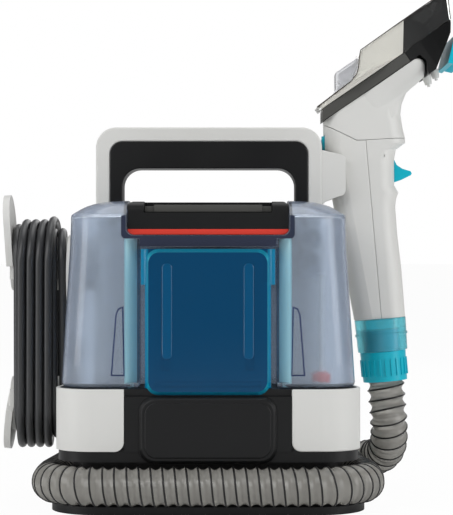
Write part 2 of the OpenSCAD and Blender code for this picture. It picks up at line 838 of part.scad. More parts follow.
// Ribs stand out as ridge and valley rings; the bore runs through from end to end
module suction_hose() {
    n = 8;
    bore_every = 3;
    ridge = hose_d / 2;
    valley = ridge - 1.7;
    outer = rings_on(hose_route, [0, 0, 1], [ridge, valley], n);
    inner = rings_on(hose_route, [0, 0, 1], [hose_bore / 2], n, bore_every);
    co = len(outer);
    ci = len(inner);
    base = co * n;
    caps = [
        for (k = [0:n - 1]) let (q = (k + 1) % n, e = (co - 1) * n, f = base + (ci - 1) * n)
        each [[k, q, base + q], [k, base + q, base + k], [e + k, f + q, e + q], [e + k, f + k, f + q]]
    ];
    color([0.42, 0.42, 0.44]) polyhedron(
        points = concat([for (q = outer) each q], [for (q = inner) each q]),
        faces = concat(tube_faces(co, n, 0, false), tube_faces(ci, n, base, true), caps), convexity = 20);
}

// Recovery tank: height, half width, inset at the front, inset at the rear
tank_layers = [
    [tank_z, -2, 2, 1], [tank_z + 3, 0, 0, 0], [lid_z, 0, 0, 0], [243, 2.4, 2, 0.2], [249, 6.5, 6, 0.5],
    [253, 14, 12, 0.8], [257, 27, 20, 1], [tank_crown_z, 45, 32, 1.2]
];
tank_ring_n = 32;
function tank_half(z) = let (u = min(1, max(0, (z - tank_z) / (lid_z - tank_z))))
    tank_foot_half + (tank_top_half - tank_foot_half) * u;
function tank_ring(l, inset, lift) = ring(
    0, (tank_back - l[3] - tank_front + l[2]) / 2, tank_half(l[0]) - abs(l[1]) - inset,
    (tank_back - l[3] + tank_front - l[2]) / 2 - inset, tank_r - inset, l[0] + lift, tank_ring_n, 18 - inset
);

recess_half = lid_half + 0.8;
mouth_half = 56;
mouth_front = 76;
mouth_back = 17;
rib_x = 78.5;

module tank_pocket(grow) {
    translate([-pocket_half - grow, -tank_front - 10, tank_z - 5])
        cube([2 * (pocket_half + grow), tank_front + 10 - pocket_rear + grow,
            pocket_top - tank_z + 5 + grow]);
}

module lid_recess(grow) {
    upright(-tank_front - 10, tank_front + 20) translate([0, (neck_z - grow + 270) / 2])
        round_rect(2 * (recess_half + grow), 270 - neck_z + grow, 6 + grow);
}

module pin_axis(x) translate([x, pin_y, pin_z]) rotate([0, 90, 0]) children();
pin_y = -10;
pin_z = 255.6;

module tank_moulding() {
    inner = [for (i = [1:len(tank_layers) - 1]) tank_layers[i]];
    difference() {
        union() {
            loft([for (l = tank_layers) tank_ring(l, 0, 0)]);
            for (s = [-1, 1]) translate([s * rib_x - 2, -tank_front - 0.9, tank_z + 8]) cube([4, 3, 62]);
        }
        difference() {
            loft([for (l = inner) tank_ring(l, tank_wall,
                l[0] > lid_z + 1 ? -tank_wall : l[0] < lid_z ? 0.5 : 0)]);
            tank_pocket(tank_wall);
            lid_recess(tank_wall);
            for (s = [-1, 1]) pin_axis(s * 74 - 6) cylinder(h = 12, r = 4.4, $fn = 32);
        }
        tank_pocket(0);
        lid_recess(0);
        translate([-mouth_half, -mouth_front, neck_z - 5])
            cube([2 * mouth_half, mouth_front - mouth_back, 10]);
        for (s = [-1, 1]) pin_axis(s * 70 - 5) cylinder(h = 10, r = pin_r, $fn = 32);
        duct_places() rotate([90, 0, 0]) cylinder(h = 12, r = $duct_r, $fn = 48);
    }
}

// The tank is welded from two lobes, a bridge behind the solution tank and a neck that the lid closes
module recovery_tank() {
    color(clear_violet) difference() {
        tank_moulding();
        translate([-pocket_half, -front_y, tank_z - 5]) cube([2 * pocket_half, front_y + 10, tank_crown_z]);
    }
}

module tank_bridge() {
    foot = tank_layers[0][3];
    rise = tank_layers[1][0];
    color(clear_violet) translate([-pocket_half, 0, 0]) rotate([90, 0, 90])
        linear_extrude(2 * pocket_half) difference() {
        polygon([
            [-pocket_rear, tank_z], [tank_back - foot, tank_z], [tank_back, rise],
            [tank_back, pocket_top], [-pocket_rear, pocket_top]
        ]);
        translate([tank_wall - pocket_rear, rise + 0.5])
            square([pocket_rear + tank_back - 2 * tank_wall, pocket_top - rise]);
    }
}

module tank_neck() {
    color(clear_violet) intersection() {
        tank_moulding();
        translate([-pocket_half, -front_y, pocket_top])
            cube([2 * pocket_half, front_y + 10, tank_crown_z - pocket_top + 10]);
    }
}

// Two short ducts side by side in one hood, open below
module separator() {
    depth = 24;
    duct_wall = 2;
    hood_w = 19;
    color([0.75, 0.77, 0.82, 0.6]) translate([0, tank_back - tank_wall - 0.1, 0]) difference() {
        union() {
            for (d = ducts) translate([d[0], 0, d[1]]) rotate([90, 0, 0])
                cylinder(h = depth, r = d[2] + duct_wall, $fn = 48);
            translate([duct_x - 10, -depth, 196]) cube([hood_w, depth, 14]);
        }
        for (d = ducts) translate([d[0], 1, d[1]]) rotate([90, 0, 0])
            cylinder(h = depth - 1.4, r = d[2], $fn = 48);
        translate([duct_x - 10 + duct_wall, -depth + duct_wall, 190])
            cube([hood_w - 2 * duct_wall, depth - 2 * duct_wall, 20]);
    }
}

float_x = 97;
float_y = -45;
float_travel = 78;

module float_rod() {
    color(white) translate([float_x, float_y, tank_z + 3]) {
        cylinder(h = float_travel + 14, r = 2, $fn = 32);
        cylinder(h = 2, r = 5, $fn = 32);
        translate([0, 0, float_travel + 12]) cylinder(h = 2, r = 4, $fn = 32);
    }
}

module float() {
    color(red) translate([float_x, float_y, tank_z + 5.2]) difference() {
        union() {
            cylinder(h = 6, r = 8, $fn = 48);
            translate([0, 0, 6]) cylinder(h = 2, r1 = 8, r2 = 4, $fn = 48);
        }
        translate([0, 0, -1]) cylinder(h = 12, r = 2.5, $fn = 32);
    }
}

// Outline of the lid seen from the front, and from the side
module lid_front_outline() {
    translate([0, (lid_z + lid_top) / 2]) union() {
        round_rect(2 * lid_half, lid_top - lid_z, 5.4);
        translate([-lid_half, 0]) square([2 * lid_half, (lid_top - lid_z) / 2 - 2]);
    }
}

module lid_block() {
    r = 9;
    intersection() {
        upright(-lid_front, lid_front - lid_rear) lid_front_outline();
        translate([-lid_half - 1, 0, 0]) rotate([90, 0, 90]) linear_extrude(2 * lid_half + 2) union() {
            translate([-lid_front + r, lid_z]) square([lid_front - lid_rear - r - 4, lid_top - lid_z]);
            translate([-lid_front, lid_z]) square([lid_front - lid_rear, lid_top - lid_z - r]);
            translate([-lid_front + r, lid_top - r]) circle(r, $fn = facets);
            translate([-lid_rear - r, lid_top - r]) circle(r, $fn = facets);
        }
    }
}

slot_half = 54;
slot_z = 251.6;
bar_y = -62;
bar_z = 254.6;

module tank_lid() {
    color(black) difference() {
        lid_block();
        translate([-lid_half - 1, -lid_front - 1, lid_z - 1])
            cube([2 * lid_half + 2, lid_front + 2, stripe_h + 1]);
        // Finger slot across the front with a well behind the bar
        translate([-slot_half, -lid_front - 1, slot_z]) cube([2 * slot_half, 34, 20]);
        translate([-slot_half + 8, -lid_front + 8, slot_z - 6]) cube([2 * slot_half - 16, 12, 20]);
        translate([-slot_half - 3.4, bar_y, bar_z]) rotate([0, 90, 0])
            cylinder(h = 2 * slot_half + 6.8, r = 1.6 + fit, $fn = 32);
        // Hollow underside, with bosses left for the hinge pins
        translate([-lid_half + wall, -lid_front + wall, lid_z])
            cube([2 * (lid_half - wall), 24, slot_z - 9 - lid_z]);
        translate([-lid_half + wall, -lid_front + 36, lid_z])
            cube([2 * (lid_half - wall), 30, lid_top - 3 - lid_z]);
        for (s = [-1, 1]) pin_axis(s * 65 - 4) cylinder(h = 8, r = pin_r + fit, $fn = 32);
    }
}

// Coloured frame round the lid's foot
module lid_stripe() {
    color(red) difference() {
        intersection() {
            lid_block();
            // Short at the rear, where its edge swings past the neck
            translate([-lid_half - 1, -lid_front - 1, lid_z - 1])
                cube([2 * lid_half + 2, lid_front - lid_rear - 1.5, stripe_h + 1]);
        }
        translate([-mouth_half + 4, -mouth_front + 8, lid_z - 1])
            cube([2 * mouth_half - 8, mouth_front - mouth_back - 12, stripe_h + 2]);
    }
}

module lid_seal() {
    color(dark_grey) difference() {
        translate([-mouth_half + 1, -mouth_front + 4, lid_z - 3])
            cube([2 * mouth_half - 2, mouth_front - mouth_back - 6, 3]);
        translate([-mouth_half + 4, -mouth_front + 8, lid_z - 4])
            cube([2 * mouth_half - 8, mouth_front - mouth_back - 12, 5]);
    }
}

module lid_pins() {
    color(steel) for (s = [-1, 1]) pin_axis(s * 69 - 5.5) cylinder(h = 11, r = pin_r, $fn = 32);
}

// Finger bar that lies in the slot and turns on its own trunnions
module latch_bar() {
    color(dark_grey) {
        translate([-slot_half + gap, bar_y - 15, bar_z - 2.4]) cube([2 * (slot_half - gap), 15, 4.8]);
        translate([-slot_half + gap, bar_y, bar_z]) rotate([0, 90, 0])
            cylinder(h = 2 * (slot_half - gap), r = 2.6, $fn = 32);
        translate([-slot_half - 3, bar_y, bar_z]) rotate([0, 90, 0])
            cylinder(h = 2 * slot_half + 6, r = 1.6, $fn = 32);
        translate([-slot_half + gap + 8, bar_y - 16.5, bar_z - 2.4])
            cube([2 * (slot_half - gap) - 16, 2, 6]);
    }
}

// Solution tank
cap_x = 8;
cap_z = 187;
cap_r = 10;
notch_z = 191;
lower_half = fill_half - 3.5;

module fill_section(half, inset, z0, z1) {
    translate([0, -(fill_front + fill_back) / 2, z0]) linear_extrude(z1 - z0)
        round_rect(2 * (half - inset), fill_depth - 2 * inset, 9 - inset);
}

module solution_tank() {
    face_h = fill_top - middle_top - 1;
    color(deep_teal) difference() {
        union() {
            fill_section(lower_half, 0, fill_z, fill_top - 1);
            fill_section(fill_half, 0, notch_z, fill_top);
            // Raised face with sloped edges; it reaches down over the front of the deck
            translate([0, -fill_front + 0.5, middle_top + 1 + face_h / 2]) rotate([90, 0, 0]) hull() {
                linear_extrude(0.5) round_rect(2 * face_half + 5, face_h, 11);
                translate([0, 0, face_out]) linear_extrude(0.5) round_rect(2 * face_half, face_h - 6, 9);
            }
        }
        fill_section(lower_half, tank_wall, fill_z + tank_wall, fill_top - tank_wall);
        fill_section(fill_half, tank_wall, notch_z + tank_wall, fill_top - tank_wall);
        // Long flutes and a foot groove in the face
        for (s = [-1, 1]) translate([s * 35 - 3.5, -fill_front - face_out - 1, 120]) cube([7, 2, 82]);
        translate([-44, -fill_front - face_out - 1, 106]) cube([88, 1.8, 5]);
        cap_axis() translate([0, 0, -1]) cylinder(h = 7, r = cap_r + gap, $fn = 48);
        cap_axis() cylinder(h = 14, r = cap_r - 3, $fn = 48);
        valve_place() translate([0, 0, fill_z - 1]) cylinder(h = 6, r = 3, $fn = 32);
    }
    // Neck behind the cap and a guide for the valve
    color(deep_teal) difference() {
        union() {
            cap_axis() translate([0, 0, tank_wall - 0.2]) cylinder(h = 9, r = cap_r + 2.6, $fn = 48);
            valve_place() translate([0, 0, fill_z + tank_wall - 0.2]) cylinder(h = 5, r = 5.4, $fn = 32);
        }
        cap_axis() translate([0, 0, -1]) cylinder(h = 7, r = cap_r + gap, $fn = 48);
        cap_axis() cylinder(h = 14, r = cap_r - 3, $fn = 48);
        valve_place() translate([0, 0, fill_z - 1]) cylinder(h = 12, r = 3, $fn = 32);
    }
}

// Axis of the filler cap: Z runs from the rear face into the tank
module cap_axis() translate([cap_x, -fill_back, cap_z]) rotate([90, 0, 0]) children();

module filler_cap() {
    color(black) cap_axis() {
        difference() {
            translate([0, 0, 0.4]) cylinder(h = 5.2, r = cap_r, $fn = 48);
            for (s = [-1, 1]) translate([s * 5.4 - 2.6, -6, -1]) cube([5.2, 12, 3.6]);
        }
        translate([0, 0, 5]) cylinder(h = 8, r = cap_r - 3 - fit, $fn = 48);
    }
}

module valve_stem() {
    color(white) valve_place() {
        translate([0, 0, fill_z + 0.6]) cylinder(h = 8, r = 3 - fit, $fn = 32);
        translate([0, 0, fill_z + tank_wall + 5]) cylinder(h = 2, r = 5, $fn = 32);
    }
}

// Hand tool. Sections of the grip and neck: height, left, right, half width, corner
grip_sections = [
    [0, -23, 22.5, 20, 17], [44, -27, 22.8, 20.4, 17], [74, -30, 21.8, 20.8, 17], [99, -32.3, 22.1, 21, 17],
    [106, -33, 23.6, 21, 17], [111.6, -33.5, 26.2, 21, 17], [118, -34, 23.2, 21, 17],
    [140.7, -36, 25.1, 21, 17],
    [150, -37, 27.5, 21, 17], [155, -37.2, 35.8, 21, 16], [160, -36.8, 36.1, 21, 16],
    [168, -36.2, 34.9, 21, 16],
    [181, -35.4, 33.9, 20.5, 16], [190, -35.2, 35.8, 20, 16], [201, -35.2, 41.4, 20, 15],
    [211, -35.2, 55.9, 20, 13], [236, -35.2, 56, 20, 13]
];
function grip_ring(s, inset) = ring(
    (s[1] + s[2]) / 2, 0, (s[2] - s[1]) / 2 - inset, s[3] * grip_w / 42 - inset, s[4] - inset, s[0], 28
);

module grip_body() {
    difference() {
        loft([for (s = grip_sections) grip_ring(s, 0)]);
        translate([0, 0, -0.01]) loft([
            for (i = [0:len(grip_sections) - 1])
                if (i != 5 && i != 9) grip_ring(grip_sections[i], 2.6)
        ]);
    }
}

trigger_w = 16;
spring_w = 4;
pivot_x = 14;
pivot_z = 145;
button_z = 160;

module grip_backstrap() {
    color(white) tool_frame() difference() {
        intersection() {
            grip_body();
            side_profile(60) polygon([[-50, 0.3], [-0.15, 0.3], [-0.15, grip_len],
                [-8.3, grip_len + 0.4], [-35.1, 176.7], [-50, 185.7]]);
        }
        translate([-42, -8.5, button_z - 8.4]) cube([20, 17, 16.8]);
    }
}

module grip_shell() {
    color(white) tool_frame() difference() {
        union() {
            intersection() {
                grip_body();
                side_profile(60) polygon([[0.15, 0.3], [50, 0.3], [50, 156.2], [34, grip_len - 1],
                    [0.15, grip_len]]);
            }
            // Ears inside that carry the trigger's pin
            for (s = [-1, 1]) translate([pivot_x, s * (trigger_w / 2 + 0.6 + 1.5), pivot_z])
                rotate([90, 0, 0])
                cylinder(h = 3, r = 5, center = true, $fn = 32);
            for (s = [-1, 1]) translate([pivot_x - 3, s * (trigger_w / 2 + 2.1) - 1.5, pivot_z])
                cube([6, 3, 12]);
            translate([pivot_x - 3, -grip_w / 2 + 1, pivot_z + 8]) cube([6, grip_w - 2, 3]);
        }
        translate([16, -trigger_w / 2 - 0.6, 112]) cube([30, trigger_w + 1.2, 39]);
        translate([pivot_x, 0, pivot_z]) rotate([90, 0, 0])
            cylinder(h = 40, r = 1.5, center = true, $fn = 32);
    }
}

// Neck above the seams, cut to the slope of the nozzle
module tool_neck() {
    color(white) tool_frame() difference() {
        intersection() {
            union() {
                grip_body();
                translate([0, 0, 161]) linear_extrude(2) square([50, grip_w - 3], center = true);
            }
            side_profile(60) polygon([
                [-35.4 - 15, 186.3], [-35, 177.1], [-8.2, grip_len + 0.9], [0, grip_len + 0.4],
                [34.4, grip_len - 0.6],
                [50, 156.6], [70, 160], [70, 205], [56.4, 210.6], [55.4, 222.6], [50.6, 227.4],
                [50.6, 240], [-50, 240]
            ]);
        }
        // Half space above the nozzle's seat
        translate([-35.2, 0, 181.2]) rotate([0, tool_lean - nozzle_rise, 0]) translate([-40, -40, -0.5])
            cube([200, 80, 80]);
    }
}

module trigger() {
    color(teal) tool_frame() difference() {
        union() {
            side_profile(trigger_w) polygon([
                [11, 148], [18, 148.5], [24, 142.4], [26.5, 136], [31, 132.4], [38.4, 129.4], [39.2, 127.6],
                [38.4, 125.9], [30, 122.6], [23.5, 121], [15, 119], [12, 126]
            ]);
        }
        translate([pivot_x, 0, pivot_z]) rotate([90, 0, 0])
            cylinder(h = 40, r = 1.5 + fit, center = true, $fn = 32);
        side_profile(trigger_w - 4) polygon([[10, 138], [21, 136], [25, 128], [20, 122.6], [10, 118]]);
        translate([pivot_x, 0, pivot_z]) rotate([90, 0, 0])
            cylinder(h = spring_w + 0.8, r = 3.8, center = true, $fn = 32);
        translate([pivot_x - 6, -spring_w / 2 - 0.4, pivot_z - 1]) cube([7, spring_w + 0.8, 12]);
    }
}

module trigger_pin() {
    color(steel) tool_frame() translate([pivot_x, 0, pivot_z]) rotate([90, 0, 0])
        cylinder(h = trigger_w + 7, r = 1.5, center = true, $fn = 32);
}

// Coil round the pin with one leg up to the cross bar
module trigger_spring() {
    color(steel) tool_frame() {
        difference() {
            translate([pivot_x, 0, pivot_z]) rotate([90, 0, 0])
                cylinder(h = spring_w, r = 3.3, center = true, $fn = 32);
            translate([pivot_x, 0, pivot_z]) rotate([90, 0, 0])
                cylinder(h = 10, r = 1.5 + fit, center = true, $fn = 32);
        }
        translate([pivot_x - 2.4, 0, pivot_z]) cylinder(h = 8.4, r = 0.7, $fn = 24);
    }
}

module release_button() {
    color(teal) tool_frame() translate([-38, 0, button_z]) rotate([0, 90, 0]) {
        linear_extrude(9) round_rect(15.6, 15.6, 5);
        translate([0, 0, 5.2]) linear_extrude(2) round_rect(15.6, 19.6, 2);
        for (y = [-4:2:4]) translate([-5, y - 0.4, -0.5]) cube([10, 0.8, 1]);
    }
}

module hose_cuff() {
    color(teal) tool_frame() difference() {
        union() {
            translate([0, 0, -collar_len - cuff_len])
                cylinder(h = cuff_len - gap, r1 = cuff_d / 2 - 0.8, r2 = cuff_d / 2, $fn = facets);
            translate([0, 0, -collar_len - 1]) cylinder(h = 20, r = 16, $fn = facets);
            for (a = [0:15:345]) rotate([0, 0, a])
                translate([cuff_d / 2 - 1, -0.9, -collar_len - cuff_len + 5])
                cube([1.6, 1.8, 15]);
        }
        translate([0, 0, -80]) cylinder(h = 100, r = 12.5, $fn = facets);
    }
}

module swivel_collar() {
    color([0.15, 0.75, 0.8, 0.7]) tool_frame() difference() {
        union() {
            translate([0, 0, -collar_len]) cylinder(h = collar_len, r1 = collar_d / 2 - 0.8,
                r2 = collar_d / 2, $fn = facets);
            translate([0, 0, -15]) cylinder(h = 2, r = collar_d / 2 + 0.5, $fn = facets);
        }
        translate([0, 0, -collar_len - 1]) cylinder(h = 21, r = 16 + fit, $fn = facets);
        translate([0, 0, -collar_len - 1]) cylinder(h = 40, r = 13, $fn = facets);
    }
}

// Nozzle. Half width at a distance along it, and its outline seen from above
function nozzle_half(x) = let (u = min(1, max(0, (x - 34) / 92)))
    grip_w / 2 - 0.5 + (mouth_w / 2 - grip_w / 2 + 0.5) * u * u * (3 - 2 * u);

module nozzle_plan(inset) {
    xs = [for (i = [0:14]) -4 + i * 11];
    polygon(concat([for (x = xs) [x, -nozzle_half(x) + inset]],
        [for (i = [14:-1:0]) [xs[i], nozzle_half(xs[i]) - inset]]));
}

// A side outline of the nozzle kept within its plan
module nozzle_solid(inset) {
    intersection() {
        side_profile(2 * mouth_w) children();
        translate([0, 0, -40]) linear_extrude(100) nozzle_plan(inset);
    }
}

module nozzle_cover() {
    color(clear) nozzle_frame() difference() {
        nozzle_solid(0) polygon([
            [1, 9.2], [1, 13.4], [22.5, 14.6], [39, 15.5], [46.5, 18], [51.2, 22.3], [56.6, 29.2],
            [60.6, 33.4],
            [140, 33.7], [147, 31.4], [148.2, 29], [138.6, 10.6], [97.8, 10.6], [90.4, 9.2]
        ]);
        nozzle_solid(2.2) polygon([
            [3.4, 8], [3.4, 11.4], [22, 12.4], [40, 13.4], [48.6, 17], [53, 22], [58.6, 28.8], [61.8, 31.2],
            [160, 31.2], [160, 8]
        ]);
    }
}

module nozzle_base() {
    color(black) nozzle_frame() {
        difference() {
            nozzle_solid(0.4) polygon([
                [90.4, 0.1], [90.4, 8.8], [97.8, 10.2], [138.4, 10.2], [137, 7.6], [132.4, 1.1], [124, -5],
                [115.4, -10.7], [104.4, -18.6], [96.8, -18.6], [101.6, -7.4], [99.8, 0.1]
            ]);
            nozzle_solid(3.4) polygon([[96, 4], [96, 20], [150, 20], [150, 7.6], [134, 7.2], [128, 2.4],
                [114, -3], [106, -4]]);
        }
        // Side cheeks and lip that frame the suction slot under the cover
        difference() {
            nozzle_solid(2.6) polygon([[100, 9], [109.3, 30.8], [139.6, 30.8], [142.4, 29],
                [141.4, 24.9], [137.6, 9]]);
            nozzle_solid(5) polygon([[90, 5], [90, 28.6], [160, 28.6], [160, 5]]);
        }
    }
}

module seal_strip() {
    color(dark_grey) nozzle_frame() difference() {
        nozzle_solid(-0.6) polygon([[-2, 0.1], [4, 8.9], [48, 8.9], [90, 8.9], [90, 0.1]]);
        nozzle_solid(3) polygon([[5, -1], [5, 10], [86, 10], [86, -1]]);
    }
}

// Clear hump at the rear, where the tool's duct turns into the nozzle
module nozzle_duct() {
    color(clear) nozzle_frame() difference() {
        intersection() {
            side_profile(30) polygon([[16, 12.6], [24.6, 17.6], [32.6, 29.6], [57.6, 29.6], [57.6, 24],
                [50, 12.6]]);
            translate([0, 0, 20]) rotate([0, 90, 0]) linear_extrude(70) round_rect(40, 28, 7);
        }
        side_profile(25) polygon([[19, 11], [27, 17], [34.5, 27.4], [60, 27.4], [60, 11]]);
        nozzle_solid(0) polygon([
            [0, 9], [1, 13.8], [22.5, 15], [39, 15.9], [46, 18.4], [50.8, 22.6], [56.2, 29.6], [60, 34],
            [80, 34], [80, 8], [0, 8]
        ]);
    }
}

// Frame of the brush along the sloped underside of the mouth
brush_x = 133.4;
brush_z = -1.6;
brush_turn = 43;

module brush_frame() nozzle_frame() translate([brush_x, 0, brush_z]) rotate([0, -brush_turn, 0]) children();

module brush_block() {
    half = mouth_w / 2 - 4;
    color(teal) brush_frame() translate([-25, -half, -6.2]) cube([25, 2 * half, 4.6]);
}

module bristles() {
    rows = 3;
    tufts = 14;
    half = mouth_w / 2 - 9;
    color(teal) brush_frame() for (r = [0:rows - 1], i = [0:tufts - 1])
        translate([-21.5 + r * 9, -half + i * 2 * half / (tufts - 1), -14.4])
            cylinder(h = 9, r = 1.9, $fn = 8);
}

module spray_tip() {
    color(white) nozzle_frame() {
        for (p = [[108.5, -17], [99.8, -18]]) translate([p[0], 0, p[1]]) rotate([0, 180 + 20, 0]) {
            cylinder(h = 8, r1 = 4.4, r2 = 3, $fn = 32);
            translate([0, 0, 4]) cylinder(h = 6, r = 1.4, $fn = 24);
        }
    }
}

base_plate();
foot_pads();
lower_housing();
left_side_panel();
right_side_panel();
front_panel();
rear_housing();
rear_grille();
motor_casing();
motor_bearings();
motor_shaft();
fan_rotor();
pump();
pump_tube();
hose_port();
handle_shell();
handle_grip();
tool_dock();
upper_cord_hook();
lower_cord_hook();
cord_gland();
power_cord();
plug();
power_button();
button_spring();
duct_ports();
port_seals();
base_screws();
recovery_tank();
tank_bridge();
tank_neck();
separator();
float_rod();
float();
tank_lid();
lid_stripe();
lid_seal();
lid_pins();
latch_bar();
solution_tank();
filler_cap();
valve_cup();
valve_stem();
suction_hose();
hose_cuff();
swivel_collar();
grip_shell();
grip_backstrap();
tool_neck();
trigger();
trigger_pin();
trigger_spring();
release_button();
nozzle_base();
nozzle_cover();
seal_strip();
nozzle_duct();
brush_block();
bristles();
spray_tip();
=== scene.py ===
import bmesh
import bpy
import json
import math
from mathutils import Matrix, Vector

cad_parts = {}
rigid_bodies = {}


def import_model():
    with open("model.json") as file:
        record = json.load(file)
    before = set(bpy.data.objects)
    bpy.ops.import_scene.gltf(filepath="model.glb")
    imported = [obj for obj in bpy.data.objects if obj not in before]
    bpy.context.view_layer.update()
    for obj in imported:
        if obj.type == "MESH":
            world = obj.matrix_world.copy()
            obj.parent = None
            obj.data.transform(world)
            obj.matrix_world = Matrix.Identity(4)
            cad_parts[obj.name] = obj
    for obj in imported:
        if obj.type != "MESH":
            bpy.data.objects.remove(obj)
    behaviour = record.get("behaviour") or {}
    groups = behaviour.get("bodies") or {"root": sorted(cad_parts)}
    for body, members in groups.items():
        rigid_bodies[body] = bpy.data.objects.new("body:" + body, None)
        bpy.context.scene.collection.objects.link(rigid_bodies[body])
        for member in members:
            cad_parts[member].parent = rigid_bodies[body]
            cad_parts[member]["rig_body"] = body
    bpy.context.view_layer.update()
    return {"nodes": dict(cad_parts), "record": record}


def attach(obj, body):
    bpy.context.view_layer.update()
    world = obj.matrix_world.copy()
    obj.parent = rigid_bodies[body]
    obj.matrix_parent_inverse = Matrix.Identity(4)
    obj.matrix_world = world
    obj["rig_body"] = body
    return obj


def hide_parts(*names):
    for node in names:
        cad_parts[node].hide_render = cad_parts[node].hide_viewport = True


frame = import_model()
nodes = frame["nodes"]
print("frame loaded:", len(nodes), "pieces")


# Camera and lamps

cameraPlace = {"at": (0.0155, -1.700, 0.2138), "lens": 134.6, "sensor": 36.0}  # metres, then millimetres

cameraData = bpy.data.cameras.new("camera")
cameraData.lens = cameraPlace["lens"]
cameraData.sensor_width = cameraPlace["sensor"]
camera = bpy.data.objects.new("camera", cameraData)
camera.location = cameraPlace["at"]
camera.rotation_euler = (math.radians(90), 0, 0)
bpy.context.collection.objects.link(camera)
bpy.context.scene.camera = camera
bpy.context.scene.view_settings.view_transform = "Standard"

# Soft boxes: place, width and height in metres, watts
softBoxes = {
    "keyBox": ((-1.1, -1.5, 1.5), 1.3, 1.3, 13.2),
    "fillBox": ((1.5, -1.2, 0.9), 1.1, 1.1, 7.6),
    "topBox": ((0.1, 0.3, 1.9), 1.4, 1.4, 10.4),
    "rearBox": ((0.6, 1.8, 1.2), 1.4, 1.4, 8.6),
    "leftStrip": ((-1.5, -0.62, 0.35), 0.60, 1.3, 7.0),
    "rightStrip": ((1.5, -0.62, 0.35), 0.60, 1.3, 5.5),
}
bodyMiddle = Vector((0, 0, 0.2))
for name, (place, width, height, watts) in softBoxes.items():
    lamp = bpy.data.lights.new(name, "AREA")
    lamp.shape = "RECTANGLE"
    lamp.size = width
    lamp.size_y = height
    lamp.energy = watts
    box = bpy.data.objects.new(name, lamp)
    box.location = place
    box.rotation_euler = (bodyMiddle - Vector(place)).to_track_quat("-Z", "Y").to_euler()
    bpy.context.collection.objects.link(box)
print("camera and lamps set")


# Small helpers for materials

def toLinear(hexColour):
    parts = [int(hexColour[i:i + 2], 16) / 255 for i in (1, 3, 5)]
    return [c / 12.92 if c <= 0.04045 else ((c + 0.055) / 1.055) ** 2.4 for c in parts] + [1.0]


def addNode(tree, kind, settings=None, links=None, **values):
    # settings go to the node, values to its inputs by name, and links join inputs to outputs
    node = tree.nodes.new(kind)
    for key, value in (settings or {}).items():
        setattr(node, key, value)
    for key, value in values.items():
        node.inputs[key.replace("_", " ")].default_value = value
    for key, output in (links or {}).items():
        tree.links.new(output, node.inputs[key])
    return node


def newMaterial(name, **values):
    # A material and its shader, whose inputs take the values by name
    material = bpy.data.materials.new(name)
    material.use_nodes = True
    shader = material.node_tree.nodes["Principled BSDF"]
    for key, value in values.items():
        shader.inputs[key.replace("_", " ")].default_value = value
    return material, material.node_tree, shader


# Materials

# Grained finishes. ABS and rubber start from an IOR of 1.53, and IOR and roughness were then matched.
# grainMm is the width of the grain as drawn: the real one is about a quarter as wide and too fine to show,
# so it is drawn as coarse as it needs. deepMm is its depth.
grainedFinishes = {
    # ABS moulded in a spark-eroded tool: satin black, whose highlights stay broad and dim
    "blackAbs": {"colour": "#0a0b0d", "roughness": 0.40, "grainMm": 1.6, "deepMm": 0.02, "ior": 1.42},
    # ABS moulded in a spark-eroded tool, charcoal: a shade paler and more matt than the black beside it
    "charcoalAbs": {"colour": "#4a4a47", "roughness": 0.45, "grainMm": 1.6, "deepMm": 0.03},
    # ABS moulded in a spark-eroded tool, white: soft shading, with no sharp reflection anywhere
    "whiteAbs": {"colour": "#dfdfdc", "roughness": 0.42, "grainMm": 1.8, "deepMm": 0.02},
    # ABS moulded and dyed through, teal: clean colour with a mild sheen on cuff, trigger and brush
    "tealAbs": {"colour": "#00bbd2", "roughness": 0.34, "grainMm": 1.6, "deepMm": 0.02, "ior": 1.44},
    # ABS moulded and dyed through, red: a thin bright line under the lid, and the float
    "redAbs": {"colour": "#ee3f2e", "roughness": 0.35, "grainMm": 0.7, "deepMm": 0.02},
    # Zinc-plated steel, turned or wound: bright and a little cloudy, and a metal keeps the default IOR
    "zincSteel": {"colour": "#b8babd", "roughness": 0.30, "grainMm": 0.4, "deepMm": 0.01, "ior": 1.5,
                  "metallic": 1.0},
    # Nitrile rubber, pressed: dull black that hardly mirrors anything
    "nitrileRubber": {"colour": "#161718", "roughness": 0.62, "grainMm": 0.4, "deepMm": 0.02},
    # Cord sheath of soft PVC, extruded: dark grey with a narrow sheen along each turn
    "cordPvc": {"colour": "#353638", "roughness": 0.34, "grainMm": 0.5, "deepMm": 0.015},
    # Sprung steel wire in a black vinyl coat, extruded: glossy dark threads between the folds of the hose
    "coatedSpringWire": {"colour": "#0b0b0c", "roughness": 0.30, "grainMm": 0.5, "deepMm": 0.01},
    # ABS moulded in a polished tool, black: smooth and wet-looking beneath the clear cover
    "glossBlackAbs": {"colour": "#08090a", "roughness": 0.25, "grainMm": 0.5, "deepMm": 0.003, "ior": 1.4},
    # Painted shade round the lid's recess, seen through the smoky wall: a deep blue-black line
    "lidRecessPaintedShade": {"colour": "#15203c", "roughness": 0.5, "grainMm": 0.4, "deepMm": 0.02},
    # ABS moulded in cream, behind the clear cover: warm, pale and even
    "creamAbs": {"colour": "#d0cec7", "roughness": 0.5, "grainMm": 0.6, "deepMm": 0.02},
}
